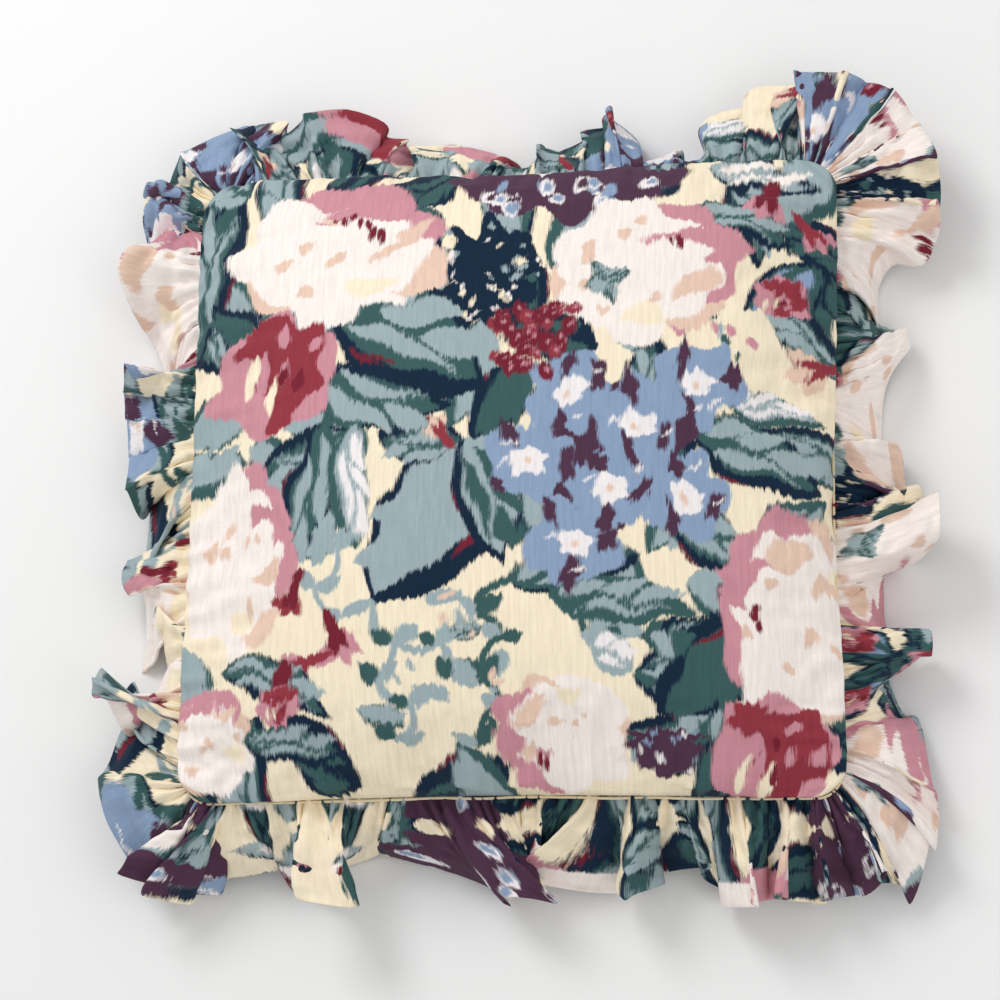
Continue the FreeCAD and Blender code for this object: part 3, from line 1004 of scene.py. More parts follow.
class FloralPrint:
    """The whole print: where each flower and leaf lies, in millimetres from the front panel's middle."""

    REPEAT = 468.0  # the print's repeat, both ways; each next repeat is mirrored

    def motifs(self) -> list[Motif]:
        """Every motif, from the lowest to the topmost."""
        return [*self.foliage(), *self.middle_leaves(), *self.stems(), *self.blooms(), *self.small_flowers()]

    def foliage(self) -> list[Motif]:
        """Dark leaves that lie below the flowers.

        Returns:
            The motifs, lowest first.
        """
        clearings = ((-55, -140, 118, 66), (176, 62, 40, 50), (-150, -96, 70, 50), (60, -150, 60, 30))
        return [
            Undergrowth(clearings=clearings, seed=71),
            Leaf((-222, 90), (-196, 215), 20, 4, seed=2),
            Leaf((-168, 84), (-208, 128), 15, 3, light=Dye.TEAL, seed=3),
            Leaf((-190, 208), (-226, 232), 16, 0, seed=4),
            Sprays((-8, 128), (36, 40), count=44, seed=5),
            Leaf((70, 178), (128, 226), 17, -3, seed=6),
            Leaf((126, 176), (196, 152), 15, 4, seed=7),
            Leaf((140, 214), (208, 196), 12, 3, blade=Dye.SAGE, light=Dye.IVORY, seed=8),
            Leaf((210, 138), (166, 98), 12, -3, light=Dye.BLUE, seed=9),
            Leaf((228, 60), (186, 112), 15, 2, seed=10),
            Leaf((-92, 18), (-170, -8), 16, 3, seed=11),
            Leaf((20, 60), (-16, 8), 20, 3, light=Dye.TEAL, seed=12),
            Leaf((10, -90), (98, -72), 17, -4, seed=13),
            Leaf((36, -104), (134, -112), 16, 4, rim=Dye.TEAL, seed=14),
            Leaf((142, -112), (96, -150), 14, 3, seed=15),
            Leaf((196, -118), (104, -176), 30, -6, light=Dye.TEAL, seed=16),
            Leaf((150, -94), (184, -126), 15, 3, light=Dye.TEAL, seed=17),
            Leaf((214, -30), (168, -74), 13, -3, rim=Dye.TEAL, seed=18),
        ]

    def middle_leaves(self) -> list[Motif]:
        """The broad leaves that stay in full view.

        Returns:
            The motifs, lowest first.
        """
        return [
            Leaf((-122, 118), (-6, 40), 39, 5, side=0.3, seed=21),
            Leaf((-132, 58), (-28, 34), 25, -9, light=Dye.SAGE, side=-0.4, seed=22),
            Leaf((-118, 24), (-150, -84), 19, 5, light=Dye.SAGE, seed=23),
            Leaf((-100, 22), (-92, -66), 15, -3, rim=Dye.TEAL, blade=Dye.SAGE, light=Dye.FROST, seed=24),
            Leaf((2, -2), (-84, -106), 40, -3, blade=Dye.SAGE, light=Dye.SAGE, side=-0.3, seed=25),
            Leaf((-20, 8), (6, -84), 22, 5, light=Dye.TEAL, blade=Dye.SAGE, seed=26),
            Leaf((132, 10), (212, -26), 25, 5, blade=Dye.TEAL, seed=27),
            Leaf((144, 40), (216, 26), 12, -2, blade=Dye.SAGE, light=Dye.FROST, rim=Dye.TEAL, seed=28),
        ]

    def stems(self) -> list[Motif]:
        """Winding stems and small grey leaves over the open ground.

        Returns:
            The motifs, lowest first.
        """
        return [
            Tendril(((-84, -104), (-66, -128), (-78, -152), (-58, -172), (-66, -194))),
            Tendril(((-66, -128), (-38, -132), (-26, -154), (-4, -150))),
            Tendril(((10, -90), (-8, -112), (6, -130), (-10, -152), (4, -176), (-14, -196)),
                    Dye.TEAL, Dye.SAGE),
            Tendril(((-118, -30), (-108, -64), (-120, -92), (-100, -112)), Dye.SAGE, Dye.SAGE, 2.6),
            Tendril(((60, -110), (74, -132), (98, -128), (118, -136)), Dye.TEAL, Dye.SAGE),
            Leaf((64, -132), (92, -150), 13, 2, rim=Dye.SAGE, blade=Dye.SAGE, light=Dye.FROST, seed=31),
            Leaf((-30, -126), (-6, -120), 6, 1, rim=Dye.TEAL, seed=32),
            Leaf((-52, -158), (-30, -168), 6, 1, rim=Dye.SAGE, blade=Dye.SAGE, seed=33),
            Leaf((-92, -172), (-62, -184), 8, 2, rim=Dye.TEAL, blade=Dye.SAGE, seed=34),
            Leaf((-44, -98), (-22, -106), 7, 1, rim=Dye.SAGE, blade=Dye.SAGE, seed=35),
            Sprays((-30, -138), (40, 46), None, (Dye.SAGE, Dye.SAGE, Dye.PEACH), 16, 9, 36),
            Sprays((152, 78), (30, 24), None, (Dye.SAGE, Dye.TEAL, Dye.PINK), 12, 10, 37),
        ]

    def blooms(self) -> list[Motif]:
        """The large flowers and the two flower heads.

        Returns:
            The motifs, lowest first.
        """
        large = ((50, 38), (136, 44), (24, -10), (96, 16), (78, -30), (128, -34), (54, -66))
        return [
            Lace((42, 204), (72, 34), seed=41),
            Bloom((-116, 152), (82, 55), lit_from=66, hearts=8, turn=-6, seed=42),
            Rose((-160, 62), 47, seed=43),
            Bloom((100, 130), (66, 58), lit_from=28, hearts=2, seed=44),
            Mophead((78, -6), (66, 62), large, seed=45),
            Bloom((-182, -64), (44, 66), lit_from=30, hearts=0, seed=46),
            Bloom((-208, -186), (40, 34), lit_from=100, hearts=0, seed=47),
            Bloom((44, -188), (46, 38), lit_from=200, hearts=2, seed=48),
            Bloom((196, -112), (48, 76), lit_from=150, hearts=3, seed=49),
            Rose((178, -200), 38, seed=50),
        ]

    def small_flowers(self) -> list[Motif]:
        """Berries, bells, buds and the loose petals between them.

        Returns:
            The motifs, lowest first.
        """
        return [
            Berries((20, 76), (26, 26), 34, radius=5.0, seed=61),
            Berries((44, 92), (16, 10), 12, radius=4.4, seed=62),
            Bell((182, 190), 22, -110),
            Bell((206, 168), 18, -60, Dye.ROSE),
            Rose((190, 112), 17, seed=63),
            Bell((-137, -92), 18, -120, Dye.BURGUNDY, Dye.ROSE),
            Bell((-108, -122), 24, -70),
            Bell((-126, -140), 20, -160, Dye.ROSE),
            Leaf((-196, -140), (-110, -178), 15, 10, seed=64),
            Leaf((-176, -188), (-104, -200), 12, 3, seed=65),
            Bell((-146, -154), 24, -100),
            Rose((-150, -166), 15, seed=66),
            Bell((-34, 10), 16, 130, Dye.ROSE, Dye.PEACH),
            Sprays((112, -198), (26, 12), Dye.PLUM, (Dye.BLUE, Dye.FROST), 9, 6, 67),
            Bell((216, 66), 20, 200, Dye.ROSE, Dye.PEACH),
            Leaf((64, 134), (80, 104), 7, 1, rim=Dye.TEAL, blade=Dye.TEAL, seed=68),
            Leaf((84, 124), (58, 112), 7, 1, rim=Dye.TEAL, blade=Dye.SAGE, seed=69),
            Leaf((70, 118), (90, 126), 6, 1, rim=Dye.TEAL, blade=Dye.TEAL, seed=70),
        ]

    def mirrored(self, place: Array) -> Array:
        """A coordinate folded back into the first repeat."""
        half = self.REPEAT / 2
        return self.REPEAT - np.abs((place + half) % (2 * self.REPEAT) - self.REPEAT) - half

    def layers(self, cloth: Array) -> Array:
        """How deep each cloth point lies inside every dye, in millimetres.

        Args:
            cloth: Cloth coordinates in metres, one row for each point.

        Returns:
            One row for each dye.
        """
        canvas = Canvas(*(self.mirrored(cloth[:, axis] / MM) for axis in (0, 1)))
        for motif in self.motifs():
            motif.paint(canvas)
        return canvas.fields


def dye_mesh(mesh: bpy.types.Mesh, cloth: Array, layers: Array) -> None:
    """Store cloth coordinates and dye layers on a mesh's points.

    Args:
        mesh: The mesh.
        cloth: Cloth coordinates in metres, one row for each point.
        layers: Depth inside each dye, one row for each dye.
    """
    where = mesh.attributes.new("cloth", "FLOAT_VECTOR", "POINT")
    flat = np.zeros((len(cloth), 3), np.float32)
    flat[:, :2] = cloth
    where.data.foreach_set("vector", flat.ravel())
    for group in range(len(LAYERS) // 3):
        stored = mesh.attributes.new(f"dyes_{group}", "FLOAT_COLOR", "POINT")
        packed = np.ones((len(cloth), 4), np.float32)
        packed[:, :3] = layers[3 * group:3 * group + 3].T
        stored.data.foreach_set("color", packed.ravel())


# ---------------------------------------------------------------- shapes


@dataclass(frozen=True)
class SeamLine:
    """The seam's route round the pillow, by distance from the middle of the bottom edge, anticlockwise."""

    half: float
    radius: float = 16 * MM
    draw_in: float = 2.5 * MM  # how far the stuffing draws the middle of each side in
    level: float = 0.0

    @property
    def side(self) -> float:
        """Length along one side, corner to corner."""
        return 2 * (self.half - self.radius) + math.pi / 2 * self.radius

    @property
    def length(self) -> float:
        """Length all the way round."""
        return 4 * self.side

    def at(self, distance: Array) -> tuple[Array, Array]:
        """Follow the seam in plan.

        Args:
            distance: Distances along it.

        Returns:
            The points, and the directions out of the seam at them.
        """
        number = np.floor(distance / self.side + 0.5)
        along = distance - number * self.side
        straight = self.half - self.radius
        angle = np.clip((np.abs(along) - straight) / self.radius, 0, math.pi / 4)
        sign = np.sign(along)
        x = sign * (np.minimum(np.abs(along), straight) + self.radius * np.sin(angle))
        drawn = self.draw_in * np.cos(math.pi * along / self.side) ** 2
        y = -(straight + self.radius * np.cos(angle)) + drawn
        nx, ny = sign * np.sin(angle), -np.cos(angle)
        turn = number * math.pi / 2
        c, s = np.cos(turn), np.sin(turn)
        points = np.stack([x * c - y * s, x * s + y * c], -1)
        return points, np.stack([nx * c - ny * s, nx * s + ny * c], -1)

    def fill(self, a: Array, b: Array) -> Array:
        """Blend the seam's four sides into positions inside it.

        Args:
            a: First square coordinate, from -1 to 1.
            b: Second square coordinate.

        Returns:
            Positions in plan.
        """
        q = self.side
        bottom, right = self.at(a * q / 2)[0], self.at(q + b * q / 2)[0]
        top, left = self.at(2 * q - a * q / 2)[0], self.at(3 * q - b * q / 2)[0]
        u, v = ((a + 1) / 2)[..., None], ((b + 1) / 2)[..., None]
        corners = [self.at(np.array([d * q]))[0][0] for d in (-0.5, 0.5, 1.5, 2.5)]
        flat = (1 - u) * (1 - v) * corners[0] + u * (1 - v) * corners[1]
        flat = flat + u * v * corners[2] + (1 - u) * v * corners[3]
        return (1 - v) * bottom + v * top + (1 - u) * left + u * right - flat


def grid_faces(rows: int, columns: int, wrap: bool = False, flip: bool = False) -> list[tuple[int, ...]]:
    """Quads of a grid of points stored row by row.

    Args:
        rows: Number of rows.
        columns: Points in each row.
        wrap: Join the last column to the first.
        flip: Turn the faces over.

    Returns:
        Point numbers of each face.
    """
    faces = []
    for i in range(rows - 1):
        for j in range(columns if wrap else columns - 1):
            k = (j + 1) % columns
            quad = (i * columns + j, i * columns + k, (i + 1) * columns + k, (i + 1) * columns + j)
            faces.append(quad[::-1] if flip else quad)
    return faces


def add_mesh(name: str, points: Array | Sequence[Sequence[float]], faces: Sequence[Sequence[int]],
             smooth: bool = True) -> bpy.types.Object:
    """Make a mesh object in the scene.

    Args:
        name: The object's name.
        points: Its points.
        faces: Point numbers of each face.
        smooth: Shade it smooth.

    Returns:
        The object.
    """
    mesh = bpy.data.meshes.new(name)
    mesh.from_pydata(np.asarray(points, float).tolist(), [], list(faces))
    mesh.polygons.foreach_set("use_smooth", [smooth] * len(mesh.polygons))
    made = bpy.data.objects.new(name, mesh)
    bpy.context.collection.objects.link(made)
    return made


def point_array(mesh: bpy.types.Mesh) -> Array:
    """Read a mesh's points.

    Args:
        mesh: The mesh.

    Returns:
        One row for each point.
    """
    flat = np.empty(len(mesh.vertices) * 3)
    mesh.vertices.foreach_get("co", flat)
    return flat.reshape(-1, 3)


def normals_of(grid: Array, wrap: bool) -> Array:
    """Unit normals of a grid of points, by central differences.

    Args:
        grid: Rows and columns of points.
        wrap: The columns run on from last to first.

    Returns:
        A normal for each point.
    """
    if wrap:
        along = np.roll(grid, -1, 1) - np.roll(grid, 1, 1)
    else:
        along = np.gradient(grid, axis=1)
    across = np.gradient(grid, axis=0)
    normal = np.cross(along, across)
    return normal / np.maximum(np.linalg.norm(normal, axis=-1, keepdims=True), 1e-12)


def finer(grid: Array, wrap: bool) -> Array:
    """Add a point between each two of a grid, on a smooth curve through them.

    Args:
        grid: Rows and columns of points.
        wrap: The columns run on from last to first.

    Returns:
        The finer grid.
    """
    def double(values: Array, closed: bool) -> Array:
        """Add the points along the first axis.

        Args:
            values: The grid.
            closed: The last row runs on to the first.

        Returns:
            The grid with about twice the rows.
        """
        if closed:
            before, after, beyond = np.roll(values, 1, 0), np.roll(values, -1, 0), np.roll(values, -2, 0)
        else:
            before = np.concatenate([2 * values[:1] - values[1:2], values[:-1]])
            after = np.concatenate([values[1:], values[-1:]])
            beyond = np.concatenate([after[1:], 2 * values[-1:] - values[-2:-1]])
            beyond[-2:] = 2 * values[-1:] - values[-2:-1]
        middle = (9 * (values + after) - before - beyond) / 16
        woven = np.stack([values, middle], 1).reshape(-1, *values.shape[1:])
        return woven if closed else woven[:-1]

    return np.swapaxes(double(np.swapaxes(double(grid, False), 0, 1), wrap), 0, 1)


@dataclass(frozen=True)
class ClothRun:
    """One run of the cloth simulation, without gravity, from inside pressure."""

    frames: int = 14
    pressure: float = 1.6
    mass: float = 0.3
    stretch: float = 20.0
    bend: float = 0.3
    quality: int = 6
    damping: float = 4.0
    grow: float = 0.02  # how much larger the cloth is than where it starts

    def settle(self, start: Array, faces: list[tuple[int, ...]], held: Array) -> Array:
        """Let cloth settle.

        Args:
            start: Where the points begin.
            faces: The cloth's faces.
            held: True for each point that is held.

        Returns:
            Where the points end.
        """
        piece = add_mesh("settling", start, faces)
        group = piece.vertex_groups.new(name="held")
        group.add(np.nonzero(held)[0].tolist(), 1.0, "REPLACE")
        cloth = piece.modifiers.new("cloth", "CLOTH")
        rules = cloth.settings
        rules.vertex_group_mass = "held"
        rules.quality = self.quality
        rules.mass = self.mass
        rules.tension_stiffness = rules.compression_stiffness = rules.shear_stiffness = self.stretch
        rules.bending_stiffness = self.bend
        rules.tension_damping = rules.compression_damping = rules.shear_damping = self.damping
        rules.bending_damping = 0.5
        rules.air_damping = 2.0
        rules.shrink_min = -self.grow
        rules.effector_weights.gravity = 0.0
        rules.use_pressure = True
        rules.uniform_pressure_force = self.pressure
        cloth.collision_settings.use_collision = False
        scene = bpy.context.scene
        cloth.point_cache.frame_start, cloth.point_cache.frame_end = 1, self.frames
        scene.frame_start, scene.frame_end = 1, self.frames
        for number in range(1, self.frames + 1):
            scene.frame_set(number)
        view = piece.evaluated_get(bpy.context.evaluated_depsgraph_get())
        end = point_array(view.to_mesh())
        view.to_mesh_clear()
        bpy.data.objects.remove(piece, do_unlink=True)
        scene.frame_set(1)
        return end


def smooth_step(value: Array, low: float, high: float) -> Array:
    """Rise smoothly from 0 at one limit to 1 at the other."""
    t = np.clip((np.asarray(value, float) - low) / (high - low), 0, 1)
    return t * t * (3 - 2 * t)


# ---------------------------------------------------------------- the pillow's own pieces

ROOT = "pillow"


def finish_piece(piece: bpy.types.Object, body: str,
                 material: bpy.types.Material) -> bpy.types.Object:
    """Give a piece its body, slot and material, and report it.

    Args:
        piece: The piece.
        body: The body that it rides on.
        material: Its material.

    Returns:
        The piece.
    """
    piece.data.materials.clear()
    piece.data.materials.append(material)
    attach(piece, body)
    log.info("%s: %d faces, on %s", piece.name, len(piece.data.polygons), body)
    return piece


@dataclass(frozen=True)
class Finishes:
    """Every material, made once."""

    printed: bpy.types.Material
    edging: bpy.types.Material
    casing: bpy.types.Material
    fibre: bpy.types.Material
    tape: bpy.types.Material
    nylon: bpy.types.Material
    brass: bpy.types.Material
    floor: bpy.types.Material

    @classmethod
    def make(cls) -> "Finishes":
        """Build the materials.

        Returns:
            All of them.
        """
        return cls(
            printed=PrintedCotton().material(),
            edging=PlainCotton("edging_cotton", shade(248, 230, 192)).material(),
            casing=PlainCotton("casing_cotton", shade(238, 235, 226)).material(),
            fibre=FibreFill().material(),
            tape=ZipTape().material(),
            nylon=ZipNylon().material(),
            brass=ZipBrass().material(),
            floor=StudioFloor().material(),
        )


@dataclass(frozen=True)
class Frame:
    """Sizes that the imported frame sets."""

    level: float  # the seam's height
    half: float  # half the seam square
    top: float  # the front panel's highest point
    front_rim: float  # from the seam's level up to the front panel's outer face at the seam
    back_rim: float  # and down to the back's
    gap_half: float  # half the length of the gap for the zip
    gap_y: float  # where the back panel ends beside the zip

    @classmethod
    def read(cls, cloth: float) -> "Frame":
        """Read the frame.

        Args:
            cloth: Thickness of the cover's cloth.

        Returns:
            Its sizes.
        """
        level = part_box("insert_casing_front")[0][2]
        front_low, front_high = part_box("front_panel")
        return cls(
            level=level, half=front_high[0], top=front_high[2], front_rim=front_low[2] + cloth - level,
            back_rim=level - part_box("ruffle_bottom")[1][2] + cloth + 2 * MM,
            gap_half=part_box("zip_tape_lower")[1][0], gap_y=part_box("zip_coil_lower")[1][1] + 2 * MM,
        )


@dataclass
class Cover:
    """The printed front and back, blown up by the stuffing and pressed flat by the floor."""

    frame: Frame
    seam: SeamLine
    finishes: Finishes
    floral: FloralPrint
    cloth: float = 0.8 * MM
    cut_half: float = 226 * MM  # half the cut square between its seams
    depth: float = 66 * MM  # how deep the back would hang off the floor
    points: int = 75  # along each side of a panel while it settles
    steep: float = 0.55  # how steeply the front leaves its seam; less is steeper
    bulge: float = 8.5 * MM  # how far the front swells out over its seam
    roll: float = 0.14  # share of the half side over which it does
    puckers: float = 1.9 * MM  # height of the small folds that the gathers pull into the seam
    most_moved: float = 8 * MM  # that the pressure may move a point
    crowding: float = 0.45  # how much closer together the points lie near the seam
    floor_gap: float = 0.2 * MM  # least height of the back over the floor
    back_cut: Pair = (0.14, 0.19)  # where on the cloth the back is cut, in metres
    run: ClothRun = ClothRun()

    def square(self, points: int) -> tuple[Array, Array]:
        """Lay out square coordinates from -1 to 1, closer together near the seam.

        Args:
            points: How many along each side.

        Returns:
            Both coordinates of each point.
        """
        line = np.linspace(-1, 1, points)
        line = np.sin(line * math.pi / 2) * self.crowding + line * (1 - self.crowding)
        return np.meshgrid(line, line)

    def pucker(self, a: Array, b: Array) -> Array:
        """Height of the small folds that run in from the seam.

        Args:
            a: First square coordinate.
            b: Second square coordinate.

        Returns:
            A height for each point.
        """
        q = self.seam.side
        total = np.zeros_like(a)
        for number, (across, along) in enumerate(((1 + b, a), (1 - a, b), (1 - b, -a), (1 + a, -b))):
            distance = across * self.frame.half
            place = along * q / 2 + number * q
            wave = ripple(place, distance * 0.35, 17 * MM, 31 + number)
            wave += 0.6 * ripple(place, distance, 41 * MM, 41)
            fade = np.exp(-distance / (15 * MM)) + 0.3 * np.exp(-distance / (45 * MM))
            start = smooth_step(distance, 0, 4 * MM)
            total += wave * fade * start * smooth_step(1 - np.abs(along), 0, 0.12)
        return total * self.puckers

    def front_start(self, a: Array, b: Array) -> Array:
        """Shape the front panel, a dome that swells over its seam.

        Args:
            a: First square coordinate.
            b: Second square coordinate.

        Returns:
            The outer face's points by row and column.
        """
        plan = self.seam.fill(a, b)
        share = ((1 - np.abs(a) ** 2.5) * (1 - np.abs(b) ** 2.5)).clip(0) ** self.steep
        low = self.frame.level + self.frame.front_rim - self.cloth
        rise = self.frame.top - self.frame.level - self.frame.front_rim
        z = low + rise * share + self.pucker(a, b)
        within_x, within_y = (((1 - np.abs(v)) / self.roll).clip(0, 1) ** 0.6 for v in (a, b))
        share_below = np.where(b < 0, 0.55, 1.0)  # the zip's side swells less
        ease_x, ease_y = (smooth_step(1 - np.abs(v), 0, 0.08) for v in (b, a))
        out_x = np.sign(a) * self.bulge * np.sin(math.pi * within_x) * ease_x
        out_y = np.sign(b) * self.bulge * share_below * np.sin(math.pi * within_y) * ease_y
        return np.stack([plan[..., 0] + out_x, plan[..., 1] + out_y, z], -1)

    def back_start(self, a: Array, b: Array) -> Array:
        """Shape the back panel, straight beside the zip and flat on the floor.

        Args:
            a: First square coordinate.
            b: Second square coordinate.

        Returns:
            The outer face's points by row and column.
        """
        plan = self.seam.fill(a, b)
        half = self.frame.half
        v = plan[..., 1] / half
        u = np.abs(plan[..., 0]) / half
        power = 4 + 8 * smooth_step(-v, 0.6, 0.9)
        share = (1 - u.clip(0, 1) ** power) * (1 - np.abs(v).clip(0, 1) ** 4)
        top = self.frame.level - self.frame.back_rim
        z = top - (self.depth - self.frame.back_rim) * share
        soft = 4 * MM
        z = soft * np.logaddexp(0, z / soft)
        away = smooth_step(v, -0.8, -0.55)
        z = np.maximum(z + self.pucker(a, b) * away, 0.4 * MM * smooth_step(share, 0, 1))
        return np.stack([plan[..., 0], plan[..., 1], z], -1)

    def panel(self, name: str, grid: Array, a: Array, b: Array, offset: Pair,
              keep: Array | None = None, down: bool = False) -> bpy.types.Object:
        """Make a panel of real thickness with its print.

        Args:
            name: The piece's name.
            grid: Outer points by row and column.
            a: First square coordinate of each point.
            b: Second square coordinate.
            offset: Where on the cloth the panel was cut, in metres.
            keep: Which points belong to the panel; all when left out.
            down: The outer face looks down.

        Returns:
            The piece.
        """
        rows, columns = grid.shape[:2]
        normal = normals_of(grid, False) * (1 if down else -1)
        count = rows * columns
        outer, inner = grid.reshape(-1, 3), (grid + normal * self.cloth).reshape(-1, 3)
        quads = grid_faces(rows, columns, flip=down)
        if keep is not None:
            quads = [q for q in quads if all(keep.ravel()[i] for i in q)]
        faces = list(quads) + [tuple(count + i for i in q[::-1]) for q in quads]
        edges = dict.fromkeys((q[i], q[(i + 1) % 4]) for q in quads for i in range(4))
        faces += [(j, i, count + i, count + j) for i, j in edges if (j, i) not in edges]
        piece = add_mesh(name, np.concatenate([outer, inner]), faces)
        cloth = np.stack([a * self.cut_half + offset[0], b * self.cut_half + offset[1]], -1).reshape(-1, 2)
        cloth = np.concatenate([cloth, cloth])
        dye_mesh(piece.data, cloth, self.floral.layers(cloth))
        loose = bmesh.new()
        loose.from_mesh(piece.data)
        bmesh.ops.delete(loose, geom=[v for v in loose.verts if not v.link_faces], context="VERTS")
        loose.to_mesh(piece.data)
        loose.free()
        return piece

    def build(self) -> None:
        """Settle both panels together, then make and dress them."""
        a, b = self.square(self.points)
        front, back = self.front_start(a, b), self.back_start(a, b)
        front, back = self.settle(front, back)
        for name, start, down in (("cover_front", front, False), ("cover_back", back, True)):
            grid, fa, fb = start, a, b
            for _ in range(2):
                grid = finer(grid, False)
                fa, fb = finer(fa[..., None], False)[..., 0], finer(fb[..., None], False)[..., 0]
            keep, offset = None, (0.0, 0.0)
            if down:
                gap = (np.abs(grid[..., 0]) < self.frame.gap_half) & (grid[..., 1] < self.frame.gap_y)
                keep = ~gap
                offset = self.back_cut
                grid[..., 2] = np.maximum(grid[..., 2], self.floor_gap)
            piece = self.panel(name, grid, fa, fb, offset, keep, down)
            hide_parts("back_panel" if down else "front_panel")
            finish_piece(piece, ROOT, self.finishes.printed)
            side = 2 * self.cut_half

    def settle(self, front: Array, back: Array) -> tuple[Array, Array]:
        """Let the two panels take up the pressure of the stuffing, held along the seam and round the zip.

        Args:
            front: The front panel's points by row and column.
            back: The back panel's.

        Returns:
            Both where they end.
        """
        rows, columns = front.shape[:2]
        count = rows * columns
        points = np.concatenate([front.reshape(-1, 3), back.reshape(-1, 3)])
        faces = grid_faces(rows, columns)
        faces += [tuple(count + i for i in q) for q in grid_faces(rows, columns, flip=True)]
        rim = np.zeros((rows, columns), bool)
        rim[[0, -1]] = rim[:, [0, -1]] = True
        zip_zone = back[..., 1] < self.frame.gap_y + 12 * MM
        zip_zone &= np.abs(back[..., 0]) < self.frame.gap_half + 10 * MM
        flat = back[..., 2] < 4 * MM
        held = np.concatenate([rim.ravel(), (rim | zip_zone | flat).ravel()])
        moved = self.run.settle(points, faces, held) - points
        far = np.linalg.norm(moved, axis=1, keepdims=True)
        end = points + moved * np.minimum(1, self.most_moved / np.maximum(far, 1e-9))
        return end[:count].reshape(front.shape), end[count:].reshape(front.shape)


class Side(Enum):
    """The four cut lengths of the ruffle, in their order round the seam."""

    BOTTOM = "ruffle_bottom"
    RIGHT = "ruffle_right"
    TOP = "ruffle_top"
    LEFT = "ruffle_left"


